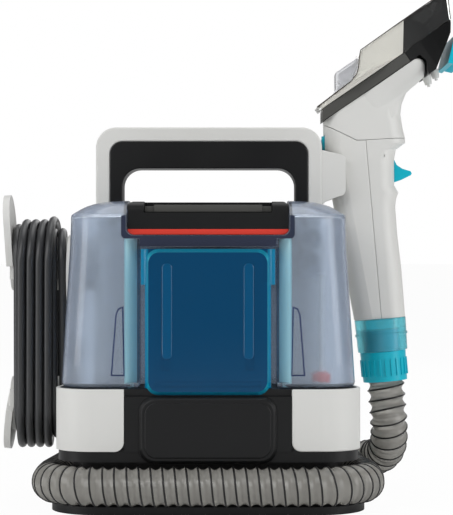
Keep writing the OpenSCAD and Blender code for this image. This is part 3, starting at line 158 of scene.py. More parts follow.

# Clear finishes. Copolyester starts from an IOR of 1.57, brought down until the walls showed as much behind
# them as real ones do. clear is the share of light let through, paintedEdgeColour the tint where the eye
# looks along the wall: partly the smoke's own depth, partly a painted dark edge.
clearFinishes = {
    # Smoke-tinted copolyester, injection moulded: see-through, blue-grey where the eye looks along the
    # wall, partly its own depth and partly a painted dark edge
    "smokeCopolyester": {"colour": "#d0dae6", "roughness": 0.16, "clear": 0.84, "paintedEdgeColour": "#3c4a80",
                         "paintedEdgeBlend": 0.16},
    # Teal copolyester, injection moulded and thin: bright and watery on the collar
    "clearTealCopolyester": {"colour": "#6fd0dd", "roughness": 0.15, "clear": 0.8},
    # Clear copolyester from a polished tool: nearly unseen but for its reflections
    "clearCopolyester": {"colour": "#f1f2f1", "roughness": 0.05, "clear": 1.0, "ior": 1.3},
    # Soft vinyl film blown over the wire: milky grey, half see-through, with a light ridge on each fold
    "hoseVinyl": {"colour": "#aeaca6", "roughness": 0.16, "clear": 0.45},
    # Clear copolyester moulded over a matt core: a cloudy hump behind the cover
    "ductCopolyester": {"colour": "#d6d7da", "roughness": 0.22, "clear": 0.7},
    # Rounded rim of the clear cover, painted shade: light that ran along the wall is gone here, so it is
    # coloured dark
    "coverRimPaintedShade": {"colour": "#463d36", "roughness": 0.2, "clear": 0.4},
    # Raised rib of the teal tank: twice the depth of plastic, so a little deeper in colour
    "tealRibCopolyester": {"colour": "#005f8e", "roughness": 0.1, "clear": 0.35, "ior": 1.34},
    # Slanted walls beside the teal tank: painted reflection of its colour, a pale glow
    "tealReflectionPainted": {"colour": "#cdf6fd", "roughness": 0.2, "clear": 0.12},
    # Sloped rim of the raised tongue, painted shade: more smoke in the light's path, so a dark outline is
    # coloured in
    "smokeRimPaintedShade": {"colour": "#3a466e", "roughness": 0.15, "clear": 0.3},
}

# Sink and flow of a moulding change its gloss over about 70 mm, and a clear wall waves over about 45 mm.
# swing is how far roughness changes, and shadowShare how much of a lamp's light a clear wall keeps back
flowMarks = {"grainedMm": 71.43, "grainedSwing": 0.05, "grainStrength": 0.18, "clearMm": 45.45,
             "clearSwing": 0.06, "waveStrength": 0.2, "waveDeepMm": 0.4, "shadowShare": 0.25}
noiseSpan = {"From_Min": 0.3, "From_Max": 0.7}  # where nearly all of a noise's values lie


def grainedFinish(name, colour, roughness, grainMm, deepMm, ior=1.53, metallic=0.0):
    material, tree, shader = newMaterial(name, Base_Color=toLinear(colour), IOR=ior, Metallic=metallic)
    place = addNode(tree, "ShaderNodeTexCoord")
    grain = addNode(tree, "ShaderNodeTexNoise", links={"Vector": place.outputs["Object"]},
                    Scale=1000 / grainMm, Detail=2.0, Roughness=0.5)
    flow = addNode(tree, "ShaderNodeTexNoise", links={"Vector": place.outputs["Object"]},
                   Scale=1000 / flowMarks["grainedMm"], Detail=2.0, Roughness=0.5)
    swing = flowMarks["grainedSwing"]
    gloss = addNode(tree, "ShaderNodeMapRange", links={"Value": flow.outputs["Fac"]},
                    To_Min=roughness - swing, To_Max=roughness + swing, **noiseSpan)
    bump = addNode(tree, "ShaderNodeBump", links={"Height": grain.outputs["Fac"]},
                   Strength=flowMarks["grainStrength"], Distance=deepMm / 1000)
    tree.links.new(gloss.outputs["Result"], shader.inputs["Roughness"])
    tree.links.new(bump.outputs["Normal"], shader.inputs["Normal"])
    return material


def clearPlastic(name, colour, roughness, clear, paintedEdgeColour=None, paintedEdgeBlend=0.4, ior=1.45):
    material, tree, shader = newMaterial(name, Base_Color=toLinear(colour), IOR=ior,
                                         Transmission_Weight=clear)
    # painted dark edge: the tint darkens towards the edge colour where the eye looks along the wall
    if paintedEdgeColour:
        slant = addNode(tree, "ShaderNodeLayerWeight", Blend=paintedEdgeBlend)
        tint = addNode(tree, "ShaderNodeMix", {"data_type": "RGBA"}, {0: slant.outputs["Facing"]})
        tint.inputs[6].default_value = toLinear(colour)
        tint.inputs[7].default_value = toLinear(paintedEdgeColour)
        tree.links.new(tint.outputs[2], shader.inputs["Base Color"])
    rays = addNode(tree, "ShaderNodeLightPath")  # lamps reach what lies behind the wall
    passing = addNode(tree, "ShaderNodeMapRange", links={"Value": rays.outputs["Is Shadow Ray"]},
                      To_Min=1.0, To_Max=flowMarks["shadowShare"])
    place = addNode(tree, "ShaderNodeTexCoord")
    waves = addNode(tree, "ShaderNodeTexNoise", links={"Vector": place.outputs["Object"]},
                    Scale=1000 / flowMarks["clearMm"], Detail=2.0, Roughness=0.4)
    gloss = addNode(tree, "ShaderNodeMapRange", links={"Value": waves.outputs["Fac"]},
                    To_Min=roughness, To_Max=roughness + flowMarks["clearSwing"], **noiseSpan)
    bump = addNode(tree, "ShaderNodeBump", links={"Height": waves.outputs["Fac"]},
                   Strength=flowMarks["waveStrength"], Distance=flowMarks["waveDeepMm"] / 1000)
    tree.links.new(passing.outputs["Result"], shader.inputs["Alpha"])
    tree.links.new(gloss.outputs["Result"], shader.inputs["Roughness"])
    tree.links.new(bump.outputs["Normal"], shader.inputs["Normal"])
    return material


# Deep-tinted copolyester, injection moulded: dark through its full depth, with a painted glow along its
# rounded edges where light leaves them, and a shade lighter in the thin flange at each side
tealTankFinish = {
    "colour": "#00507c", "roughness": 0.08, "clear": 0.35, "ior": 1.34, "paintedEdgeColour": "#2fd2ec",
    "flangeColour": "#008fba",
    "flatNormal": 0.97, "roundNormal": 0.82,  # largest part of the normal on a flat side and round an edge
    "upwardNormal": 0.7, "upwardPaintedGlow": 0.4,  # edges that lean upward glow less
    "flangeFrom": 0.0495, "flangeTo": 0.0510,  # metres from the middle plane
}


def tealTankPlastic():
    f = tealTankFinish
    material = clearPlastic("tealCopolyester", f["colour"], f["roughness"], f["clear"], ior=f["ior"])
    tree = material.node_tree
    skin = addNode(tree, "ShaderNodeNewGeometry")
    leaning = addNode(tree, "ShaderNodeVectorMath", {"operation": "ABSOLUTE"}, {0: skin.outputs["Normal"]})
    lean = addNode(tree, "ShaderNodeSeparateXYZ", links={0: leaning.outputs[0]})
    level = addNode(tree, "ShaderNodeMath", {"operation": "MAXIMUM"},
                    {0: lean.outputs["X"], 1: lean.outputs["Y"]})
    flat = addNode(tree, "ShaderNodeMath", {"operation": "MAXIMUM"},
                   {0: level.outputs[0], 1: lean.outputs["Z"]})
    rounded = addNode(tree, "ShaderNodeMapRange", links={"Value": flat.outputs[0]},
                      From_Min=f["flatNormal"], From_Max=f["roundNormal"])
    upright = addNode(tree, "ShaderNodeMapRange", links={"Value": lean.outputs["Z"]},
                      From_Min=0.0, From_Max=f["upwardNormal"], To_Min=1.0, To_Max=f["upwardPaintedGlow"])
    glowing = addNode(tree, "ShaderNodeMath", {"operation": "MULTIPLY"},
                      {0: rounded.outputs["Result"], 1: upright.outputs["Result"]})
    place = addNode(tree, "ShaderNodeTexCoord")
    axes = addNode(tree, "ShaderNodeSeparateXYZ", links={"Vector": place.outputs["Object"]})
    side = addNode(tree, "ShaderNodeMath", {"operation": "ABSOLUTE"}, {0: axes.outputs["X"]})
    flange = addNode(tree, "ShaderNodeMapRange", links={"Value": side.outputs[0]},
                     From_Min=f["flangeFrom"], From_Max=f["flangeTo"])
    # painted glow: the rounded edges turn to the bright edge colour, less where they lean upward
    edges = addNode(tree, "ShaderNodeMix", {"data_type": "RGBA"}, {0: glowing.outputs[0]})
    edges.inputs[6].default_value = toLinear(f["colour"])
    edges.inputs[7].default_value = toLinear(f["paintedEdgeColour"])
    tint = addNode(tree, "ShaderNodeMix", {"data_type": "RGBA"},
                   {0: flange.outputs["Result"], 6: edges.outputs[2]})
    tint.inputs[7].default_value = toLinear(f["flangeColour"])
    tree.links.new(tint.outputs[2], tree.nodes["Principled BSDF"].inputs["Base Color"])
    return material


materials = {name: grainedFinish(name, **settings) for name, settings in grainedFinishes.items()}
materials.update({name: clearPlastic(name, **settings) for name, settings in clearFinishes.items()})
materials["tealCopolyester"] = tealTankPlastic()

finishOfSlot = {
    "moulded_black": "blackAbs", "moulded_grey": "charcoalAbs", "moulded_white": "whiteAbs",
    "teal_plastic": "tealAbs", "smoke_tank": "smokeCopolyester", "teal_tank": "tealCopolyester",
    "teal_clear": "clearTealCopolyester", "clear_plastic": "clearCopolyester", "red_plastic": "redAbs",
    "steel": "zincSteel", "rubber_black": "nitrileRubber", "hose_film": "hoseVinyl",
    "cord_jacket": "cordPvc",
}
slotOf = {part["node"]: part["material_slot"] for part in frame["record"]["subparts"]}
for nodeName, slotName in slotOf.items():
    mesh = nodes[nodeName].data
    mesh.materials.clear()
    mesh.materials.append(materials[finishOfSlot[slotName]])
print("materials made:", len(materials))


# Small helpers for meshes

def skinMesh(name, points, faces):
    # A mesh whose faces all look outward
    mesh = bpy.data.meshes.new(name)
    mesh.from_pydata([tuple(p) for p in points], [], faces)
    mesh.validate()
    work = bmesh.new()
    work.from_mesh(mesh)
    bmesh.ops.recalc_face_normals(work, faces=work.faces)
    work.to_mesh(mesh)
    work.free()
    return mesh


def smoothSides(mesh, sharpDegrees=180):
    # Smooth shading, with edges steeper than sharpDegrees kept sharp
    for face in mesh.polygons:
        face.use_smooth = True
    if sharpDegrees < 180:
        mesh.set_sharp_from_angle(angle=math.radians(sharpDegrees))


def linked(name, mesh):
    piece = bpy.data.objects.new(name, mesh)
    bpy.context.collection.objects.link(piece)
    return piece


def afterModifiers(piece):
    bpy.context.view_layer.update()
    return bpy.data.meshes.new_from_object(piece.evaluated_get(bpy.context.evaluated_depsgraph_get()))


def addPiece(name, mesh, body, slot, *finishes):
    # The mesh as a piece that moves with its body and wears the named finishes
    mesh.materials.clear()
    for finish in finishes:
        mesh.materials.append(materials[finish])
    piece = linked(name, mesh)
    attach(piece, body)
    return piece


def prismMesh(name, outline, low, high, upright=False):
    # An outline in x and z, in millimetres, pushed along y from low to high, or one in x and y pushed up
    points = [(x / 1000, b / 1000, a / 1000) if upright else (x / 1000, a / 1000, b / 1000)
              for a in (low, high) for x, b in outline]
    return skinMesh(name, points, prismFaces(len(outline)))


def prismFaces(count):
    faces = [tuple(range(count)), tuple(range(2 * count - 1, count - 1, -1))]
    return faces + [(i, (i + 1) % count, (i + 1) % count + count, i + count) for i in range(count)]


def loftMesh(name, rings):
    # Closed skin over rings with the same number of points
    count = len(rings[0])
    faces = [tuple(range(count - 1, -1, -1)), tuple((len(rings) - 1) * count + k for k in range(count))]
    for j in range(len(rings) - 1):
        for k in range(count):
            a, b = j * count + k, j * count + (k + 1) % count
            faces.append((a, b, b + count, a + count))
    return skinMesh(name, [p for ring in rings for p in ring], faces)


def padMesh(name, outline, foot, wall, proud, buried):
    # A low pad on a front wall with sloped edges: foot at the wall, outline at the proud face
    return loftMesh(name, [[(x / 1000, y / 1000, z / 1000) for x, z in ring] for ring, y in
                           ((foot, wall + buried), (foot, wall), (outline, wall - proud))])


def mirrored(outline, sign):
    return [(sign * x, b) for x, b in outline]


def roundedOutline(x0, x1, z0, z1, r, steps=6):
    corners = [(x1 - r, z1 - r, 0), (x0 + r, z1 - r, 90), (x0 + r, z0 + r, 180), (x1 - r, z0 + r, 270)]
    angles = [(cx, cz, math.radians(a + 90 * k / steps)) for cx, cz, a in corners for k in range(steps + 1)]
    return [(cx + r * math.cos(a), cz + r * math.sin(a)) for cx, cz, a in angles]


def circleOutline(x, z, r, sides=40):
    angles = [2 * math.pi * k / sides for k in range(sides)]
    return [(x + r * math.cos(a), z + r * math.sin(a)) for a in angles]


def carved(name, mesh, tools):
    # The mesh after each tool, a pair of operation and mesh, in turn
    piece = linked(name, mesh)
    spare = [piece]
    for operation, tool in tools:
        spare.append(linked(name + "Tool", tool))
        cut = piece.modifiers.new("cut", "BOOLEAN")
        cut.operation = operation
        cut.object = spare[-1]
        cut.solver = "EXACT"
    made = afterModifiers(piece)
    for other in spare:
        bpy.data.objects.remove(other)
    return made


# Mouldings with their edges rounded, in millimetres

edgeRounding = {
    "base_plate": 0.6, "lower_housing": 0.8, "front_panel": 0.8, "left_side_panel": 1.0,
    "right_side_panel": 1.0, "rear_housing": 0.9, "handle_shell": 1.2, "handle_grip": 0.8, "tool_dock": 0.9,
    "upper_cord_hook": 0.6, "lower_cord_hook": 0.6, "cord_gland": 0.3, "plug": 0.6, "tank_lid": 0.6,
    "lid_stripe": 0.3, "latch_bar": 0.5, "solution_tank": 1.2, "filler_cap": 0.4, "hose_port": 0.5,
    "hose_cuff": 0.5, "swivel_collar": 0.4, "grip_shell": 0.5, "grip_backstrap": 0.5, "tool_neck": 0.5,
    "trigger": 0.5, "release_button": 0.4, "nozzle_base": 0.5, "nozzle_cover": 0.5, "seal_strip": 0.2,
    "brush_block": 0.3, "spray_tip": 0.3, "power_button": 0.5, "separator": 0.3, "float": 0.3,
    "nozzle_duct": 0.2,
}
# Points closer than weld, in metres, are one, faces flatter than flatDegrees are joined
easing = {"weld": 2e-6, "flatDegrees": 0.6, "sharpDegrees": 35, "steps": 2}
# Finishes that differ from the one of the piece's slot
ownFinish = {"nozzle_duct": "ductCopolyester", "nozzle_base": "glossBlackAbs"}


def easedCopy(nodeName, roundingMm):
    # The CAD piece again with its edges rounded and its curved sides shaded smooth
    source = nodes[nodeName]
    work = bmesh.new()
    work.from_mesh(source.data)
    bmesh.ops.remove_doubles(work, verts=work.verts, dist=easing["weld"])
    bmesh.ops.dissolve_limit(work, angle_limit=math.radians(easing["flatDegrees"]), verts=work.verts,
                             edges=work.edges)
    mesh = bpy.data.meshes.new(nodeName)
    work.to_mesh(mesh)
    work.free()
    smoothSides(mesh, easing["sharpDegrees"])
    plain = linked(nodeName + "Plain", mesh)
    bevel = plain.modifiers.new("roundEdges", "BEVEL")
    bevel.width = roundingMm / 1000
    bevel.segments = easing["steps"]
    bevel.limit_method = "ANGLE"
    bevel.angle_limit = math.radians(easing["sharpDegrees"])
    bevel.harden_normals = True
    plain.modifiers.new("flatFaces", "WEIGHTED_NORMAL").keep_sharp = True
    made = afterModifiers(plain)
    bpy.data.objects.remove(plain)
    slot = slotOf[nodeName]
    finish = ownFinish.get(nodeName, finishOfSlot[slot])
    piece = addPiece(nodeName + "Eased", made, source["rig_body"], slot, finish)
    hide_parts(nodeName)
    return piece


easedPieces = {nodeName: easedCopy(nodeName, rounding) for nodeName, rounding in edgeRounding.items()}

# Faces of the clear cover that lean sideways by this much are its rounded rim, which takes a painted dark
# shade
coverRimShadeLean = {"least": 0.12, "most": 0.86}
cover = easedPieces["nozzle_cover"].data
cover.materials.append(materials["coverRimPaintedShade"])
for face in cover.polygons:
    if coverRimShadeLean["least"] < abs(face.normal.y) < coverRimShadeLean["most"]:
        face.material_index = 1
print("moulded pieces eased:", len(easedPieces))


# Recovery tank in one piece, in millimetres: hollow, under a low dome, open in front for the solution tank

recoveryTank = {
    "wall": 2.5, "footHalf": 125, "topHalf": 117, "footZ": 104.6, "lidZ": 233, "front": 90, "back": 2.6,
    "corner": 30, "cornerSteps": 10, "cornerLoss": 6,  # corners shrink by no more than that in the dome
    "hollowZ": 107, "domeZ": 200, "lift": 0.5,  # the hollow starts at hollowZ, rings up to domeZ are lifted
    # height, then how far the ring is set in at the sides, front and rear
    "rings": [
        (104.6, 2, 2, 1), (105.4, 0.8, 0.8, 0.4), (107.6, 0, 0, 0), (130, 0, 0, 0), (160, 0, 0, 0),
        (190, 0, 0, 0), (220, 0, 0, 0), (240, 0, 0, 0), (248, 0.1, 0.1, 0), (249.6, 0.5, 0.5, 0.1),
        (250.6, 1.6, 1.6, 0.3), (252.4, 4.6, 4.8, 0.8), (255, 8.8, 9, 1.4), (257.4, 13.4, 13, 2.2),
        (259.4, 19, 18, 3.2), (261, 26, 24, 5), (262, 34, 30, 7), (262.4, 44, 38, 10),
    ],
    # room for the solution tank and for the lid, and how far the shapes that cut it out reach past the wall
    "pocketHalf": 58.1, "pocketTop": 222.6, "pocketRear": 42, "recessHalf": 68.4, "recessZ": 232.6,
    "recessCorner": 6, "before": -120, "behind": 30, "below": 60, "above": 300,
    "slant": [(50, -120), (69, -120), (69, -90.6), (67.4, -87), (60, -74), (58, -66), (50, -66)],
    "slantFoot": 109, "slantTop": 229.4,
    # the next two pick the slanted walls that wear the painted reflection of the teal tank
    "litBox": (58, 70, -92, -66), "litLean": (0.2, 0.97),  # where the slanted walls lie, and how they lean
    "mouth": [(-56, 225), (56, 225), (56, 240), (-56, 240)], "mouthDepth": (-76, -17),
    "ports": [(88, 230, 8.6), (87, 212, 7.4)], "portDepth": (-12, 4), "sharpDegrees": 40,
    # outline of the raised tongue beside the solution tank, seen from the front, and its wider foot
    "tongue": [(-76.2, 165.5), (-74.6, 170), (-71.8, 171.4), (-70.6, 115.8), (-80, 115.8)],
    "tongueFoot": [(-77.5, 165.8), (-75.3, 171.3), (-70.7, 172.9), (-69.6, 114.6), (-81.4, 114.6)],
    # the last two pick the tongue's sloped rim, which wears a painted dark outline
    "tongueProud": 1.3, "tongueBuried": 2, "rimSkin": 0.1, "rimLean": 0.9,
    # right half of the outline of the dark band of painted shade round the lid's recess, then how far it
    # stands before and behind the wall's face
    "seal": [(72.6, 249), (72.6, 232.5), (70.5, 229.8), (57, 229.8), (57, 223.2)],
    "shadeBandGap": 0.4, "shadeBandProud": 0.35, "shadeBandDeep": 0.5,
}


def tankRings(inset):
    # The tank's outline at each height, or the one of its hollow, set in by the wall
    t = recoveryTank
    rings = []
    for z, side, front, rear in t["rings"]:
        if inset and z < t["hollowZ"]:
            continue
        u = min(1, max(0, (z - t["footZ"]) / (t["lidZ"] - t["footZ"])))
        half = t["footHalf"] + (t["topHalf"] - t["footHalf"]) * u - side - inset
        y0, y1 = -t["front"] + front + inset, -t["back"] - rear - inset
        corner = min(t["corner"] - inset - min(side, t["cornerLoss"]), (y1 - y0) / 2 - 1)
        outline = roundedOutline(-half, half, y0, y1, corner, t["cornerSteps"])
        level = z - inset if z > t["domeZ"] else z + t["lift"]
        rings.append([(x / 1000, y / 1000, level / 1000) for x, y in outline])
    return rings


def recessOutline(grow, corner):
    t = recoveryTank
    half = t["recessHalf"] + grow
    return roundedOutline(-half, half, t["recessZ"] - grow, t["above"], corner)


def tankSpaces(grow):
    # What is cut out of the tank for its neighbours, and out of its hollow, where each is a wall larger
    t = recoveryTank
    half, rear = t["pocketHalf"] + grow, grow - t["pocketRear"]
    pocket = [(-half, t["before"]), (half, t["before"]), (half, rear), (-half, rear)]
    slant = [(x + grow, y) for x, y in t["slant"]]
    foot, top = t["slantFoot"] - grow, t["slantTop"] + grow
    recess = recessOutline(grow, t["recessCorner"] + grow)
    meshes = [prismMesh("pocket", pocket, t["below"], t["pocketTop"] + grow, True),
              prismMesh("recess", recess, t["before"], t["behind"])]
    meshes += [prismMesh("slant", mirrored(slant, s), foot, top, True) for s in (-1, 1)]
    return [("DIFFERENCE", mesh) for mesh in meshes]


def makeRecoveryTank():
    t = recoveryTank
    hollow = carved("tankHollow", loftMesh("tankHollow", tankRings(t["wall"])), tankSpaces(t["wall"]))
    tools = []
    for s in (1, -1):
        tongue = padMesh("tongue", mirrored(t["tongue"], s), mirrored(t["tongueFoot"], s), -t["front"],
                         t["tongueProud"], t["tongueBuried"])
        tools.append(("UNION", tongue))
    tools += tankSpaces(0) + [("DIFFERENCE", hollow)]
    tools.append(("DIFFERENCE", prismMesh("mouth", t["mouth"], *t["mouthDepth"])))
    for port in t["ports"]:
        tools.append(("DIFFERENCE", prismMesh("port", circleOutline(*port), *t["portDepth"])))
    mesh = carved("tank", loftMesh("tank", tankRings(0)), tools)
    smoothSides(mesh, t["sharpDegrees"])
    # painted reflection: the slanted walls beside the solution tank take its colour; painted shade: the
    # tongue's sloped rim is darker
    piece = addPiece("recoveryTankShell", mesh, "recovery_tank", "smoke_tank",
                     "smokeCopolyester", "tealReflectionPainted", "smokeRimPaintedShade")
    near, far, first, last = t["litBox"]
    for face in mesh.polygons:
        x, y, z = face.center * 1000
        proud = -t["front"] - y
        if near < abs(x) < far and first < y < last and t["slantFoot"] < z < t["pocketTop"]:
            face.material_index = int(t["litLean"][0] < abs(face.normal.x) < t["litLean"][1])
        elif t["rimSkin"] < proud < t["tongueProud"] - t["rimSkin"] and abs(face.normal.y) < t["rimLean"]:
            face.material_index = 2
    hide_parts("recovery_tank", "tank_bridge", "tank_neck")


def makeLidRecessShade():
    # Dark band of painted shade round the lid's recess, where the lid's front sits
    t = recoveryTank
    outline = t["seal"] + mirrored(reversed(t["seal"]), -1)
    plate = prismMesh("lidRecessShade", outline, -t["front"] - t["shadeBandProud"], -t["front"] + t["shadeBandDeep"])
    opening = prismMesh("opening", recessOutline(t["shadeBandGap"], t["recessCorner"]), t["before"], t["behind"])
    mesh = carved("lidRecessShade", plate, [("DIFFERENCE", opening)])
    addPiece("lidRecessShade", mesh, "recovery_tank", "rubber_black", "lidRecessPaintedShade")


makeRecoveryTank()
makeLidRecessShade()
print("recovery tank made")


# Upright ribs on the solution tank's front, in millimetres

tankRibs = {"near": 30.4, "far": 37.6, "foot": 129.8, "top": 208.2, "corner": 3, "slope": 0.6, "proud": 0.4,
            "buried": 0.3}


def makeTankRibs():
    r = tankRibs
    slope = r["slope"]
    wall = min(corner[1] for corner in nodes["solution_tank"].bound_box) * 1000
    outline = roundedOutline(r["near"], r["far"], r["foot"], r["top"], r["corner"])
    foot = roundedOutline(r["near"] - slope, r["far"] + slope, r["foot"] - slope, r["top"] + slope,
                          r["corner"] + slope)
    for name, s in (("leftTankRib", -1), ("rightTankRib", 1)):
        mesh = padMesh(name, mirrored(outline, s), mirrored(foot, s), wall, r["proud"], r["buried"])
        addPiece(name, mesh, nodes["solution_tank"]["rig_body"], "teal_tank", "tealRibCopolyester")


makeTankRibs()
print("solution tank ribbed")


# Flare of the hand tool's neck, which widens to the nozzle and shows a hollow beneath it

# The nozzle lies in a frame of its own, in millimetres: x along it, y across it and z up from its seat
nozzleFrame = {"x": 102.7, "y": 34, "z": 336.3, "rise": 34, "rearHalf": 20.5, "mouthHalf": 48, "from": 34,
               "length": 92}


def nozzleHalf(x):
    # Half of the nozzle's width at x, in a smooth step from the rear to the mouth
    f = nozzleFrame
    u = min(1, max(0, (x - f["from"]) / f["length"]))
    return f["rearHalf"] + (f["mouthHalf"] - f["rearHalf"]) * u * u * (3 - 2 * u)


def nozzlePoint(x, y, z):
    a = math.radians(nozzleFrame["rise"])
    return Vector((nozzleFrame["x"] + x * math.cos(a) - z * math.sin(a), nozzleFrame["y"] + y,
                   nozzleFrame["z"] + x * math.sin(a) + z * math.cos(a))) / 1000


neckFlare = {
    "neckHalf": 19.6, "gap": 0.3, "points": 26, "sharpDegrees": 50,
    "leftDraw": 5, "leftReach": 14,  # the left end is drawn in by so much over so long
    # place below the nozzle's seat, left end, right end, share of the nozzle's width, squareness at right
    "rings": [
        (-0.7, 30, 97.4, 1.0, 9), (-2.0, 30, 99.2, 0.99, 9), (-4.6, 30, 100.8, 0.97, 9),
        (-7.4, 30, 101.2, 0.93, 8), (-10.4, 30, 100.2, 0.86, 8), (-13, 30, 98.8, 0.74, 7),
        (-15.4, 30, 97.4, 0.55, 6), (-17.4, 30, 95.8, 0.34, 5), (-18.6, 30, 91.0, 0.18, 5),
        (-19.4, 30, 82.0, 0.10, 4), (-21, 30, 73.0, 0.05, 4), (-25, 30, 67.0, 0.0, 4),
        (-32, 30, 61.0, -0.1, 4),
    ],
}


def makeNeckFlare():
    f = neckFlare
    rings = []
    for depth, left, right, share, square in f["rings"]:
        near = []
        for k in range(f["points"] + 1):
            t = math.sin(0.5 * math.pi * k / f["points"])  # points crowd towards the right corner
            x = left + (right - left) * t
            half = f["neckHalf"] + (nozzleHalf(x) - f["gap"] - f["neckHalf"]) * share
            half -= f["leftDraw"] * (1 - min(1, (x - left) / f["leftReach"]))
            near.append((x, -half * max(0, 1 - t ** (3 * square)) ** (1 / square)))
        ring = near + [(x, -y) for x, y in reversed(near[:-1])]
        rings.append([nozzlePoint(x, y, depth) for x, y in ring])
    mesh = loftMesh("neckFlare", rings)
    smoothSides(mesh, f["sharpDegrees"])
    addPiece("neckFlare", mesh, nodes["tool_neck"]["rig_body"], "moulded_white", "whiteAbs")


makeNeckFlare()


# Pale moulded suction channel inside the clear cover, and dark sheets at the sides of the slot it opens
# into: painted shade of the slot's depth

channel = {
    # the cheeks are dark sheets of painted shade at the sides of the slot
    "inset": 1.4, "cheek": 1.2,  # gap to the cover's outside, and thickness of a cheek
    "outline": [(3.8, 9.6), (3.8, 12.4), (22, 13.6), (40, 14.8), (47.6, 17.8), (52.2, 22.3), (57.6, 29.2),
                (61.2, 32.4), (104.6, 32.8), (89, 9.6)],
    "slotShadeOutline": [(89.2, 9.8), (104.8, 32.8), (122, 32.8), (139, 32.8), (145.2, 30.8), (146.4, 28.8),
                     (137.8, 11.2), (120, 11.2), (97, 10.8)],
}


def nozzlePrism(name, outline, near, far):
    # An outline in the nozzle's own x and z, carried across from near(x) to far(x)
    points = [nozzlePoint(x, side(x), z) for side in (near, far) for x, z in outline]
    return skinMesh(name, points, prismFaces(len(outline)))


def makeChannel():
    inset, cheek = channel["inset"], channel["cheek"]
    mesh = nozzlePrism("channelLiner", channel["outline"],
                       lambda x: inset - nozzleHalf(x), lambda x: nozzleHalf(x) - inset)
    addPiece("channelLiner", mesh, "nozzle", "moulded_white", "creamAbs")
    # painted shade: dark sheets at each side of the slot
    for name, s in (("nearSlotShade", -1), ("farSlotShade", 1)):
        mesh = nozzlePrism(name, channel["slotShadeOutline"], lambda x: s * (nozzleHalf(x) - inset),
                           lambda x: s * (nozzleHalf(x) - inset - cheek))
        addPiece(name, mesh, "nozzle", "moulded_black", "glossBlackAbs")


makeChannel()


# Small helpers for cords and rods

def smoothLine(points, pieces):
    # Catmull-Rom curve through the points
    points = [Vector(p) for p in points]
    p = [2 * points[0] - points[1]] + points + [2 * points[-1] - points[-2]]
    line = []
    for i in range(1, len(p) - 2):
        a, b, c, d = p[i - 1:i + 3]
        for k in range(pieces):
            t = k / pieces
            bend = a - 2.5 * b + 2 * c - d / 2 + t * (1.5 * (b - c) + (d - a) / 2)
            line.append(b + t * ((c - a) / 2 + t * bend))
    return line + [points[-1]]


def lineLength(line):
    return sum((b - a).length for a, b in zip(line, line[1:]))


def evenLine(line, count):
    # The same line in count even steps
    reached = [0.0]
    for a, b in zip(line, line[1:]):
        reached.append(reached[-1] + (b - a).length)
    even, j = [], 0
    for i in range(count + 1):
        s = reached[-1] * i / count
        while j < len(line) - 2 and reached[j + 1] < s:
            j += 1
        span = reached[j + 1] - reached[j]
        even.append(line[j].lerp(line[j + 1], (s - reached[j]) / span if span else 0))
    return even


def carriedFrames(line, first):
    # Two directions across the line at each point, carried along without twist
    frames, n = [], Vector(first)
    for i in range(len(line)):
        t = (line[min(i + 1, len(line) - 1)] - line[max(i - 1, 0)]).normalized()
        n = (n - n.dot(t) * t).normalized()
        frames.append((n, t.cross(n)))
    return frames


def tubeMesh(name, line, radiusAt, sides, first=(0, 0, 1), closed=True):
    # radiusAt(i, angle) gives the radius at point i and at an angle round the line
    points, faces = [], []
    for i, (p, (u, v)) in enumerate(zip(line, carriedFrames(line, first))):
        for k in range(sides):
            a = 2 * math.pi * k / sides
            points.append(p + radiusAt(i, a) * (u * math.cos(a) + v * math.sin(a)))
    for i in range(len(line) - 1):
        for k in range(sides):
            a, b = i * sides + k, i * sides + (k + 1) % sides
            faces.append((a, b, b + sides, a + sides))
    if closed:
        faces.append(tuple(range(sides - 1, -1, -1)))
        faces.append(tuple((len(line) - 1) * sides + k for k in range(sides)))
    mesh = skinMesh(name, points, faces)
    smoothSides(mesh)
    return mesh


# Thin dark tube along the clear cover's rim at each side, a painted dark outline, in millimetres

coverRim = {
    "inset": 0.3, "radius": 0.45, "sides": 8, "step": 6,
    "outline": [(1, 13.2), (22.5, 14.4), (39, 15.3), (46.5, 17.8), (51.4, 22.2), (56.8, 29.1), (60.8, 33.2),
                (140, 33.5), (147, 31.2), (148, 29), (138.6, 10.8)],
}


def makeCoverShadeLines():
    r = coverRim
    route = []
    for (xa, za), (xb, zb) in zip(r["outline"], r["outline"][1:]):
        steps = max(1, int(abs(xb - xa) / r["step"]))
        route += [(xa + (xb - xa) * k / steps, za + (zb - za) * k / steps) for k in range(steps)]
    route.append(r["outline"][-1])
    for name, s in (("nearCoverShadeLine", -1), ("farCoverShadeLine", 1)):
        line = [nozzlePoint(x, s * (nozzleHalf(x) - r["inset"]), z) for x, z in route]
        mesh = tubeMesh(name, line, lambda i, a: r["radius"] / 1000, r["sides"], first=(0, 1, 0))
        addPiece(name, mesh, "nozzle", "clear_plastic", "coverRimPaintedShade")


makeCoverShadeLines()
print("neck and nozzle dressed")


# Suction hose: film over a wound wire. The route is in millimetres, the rest in metres

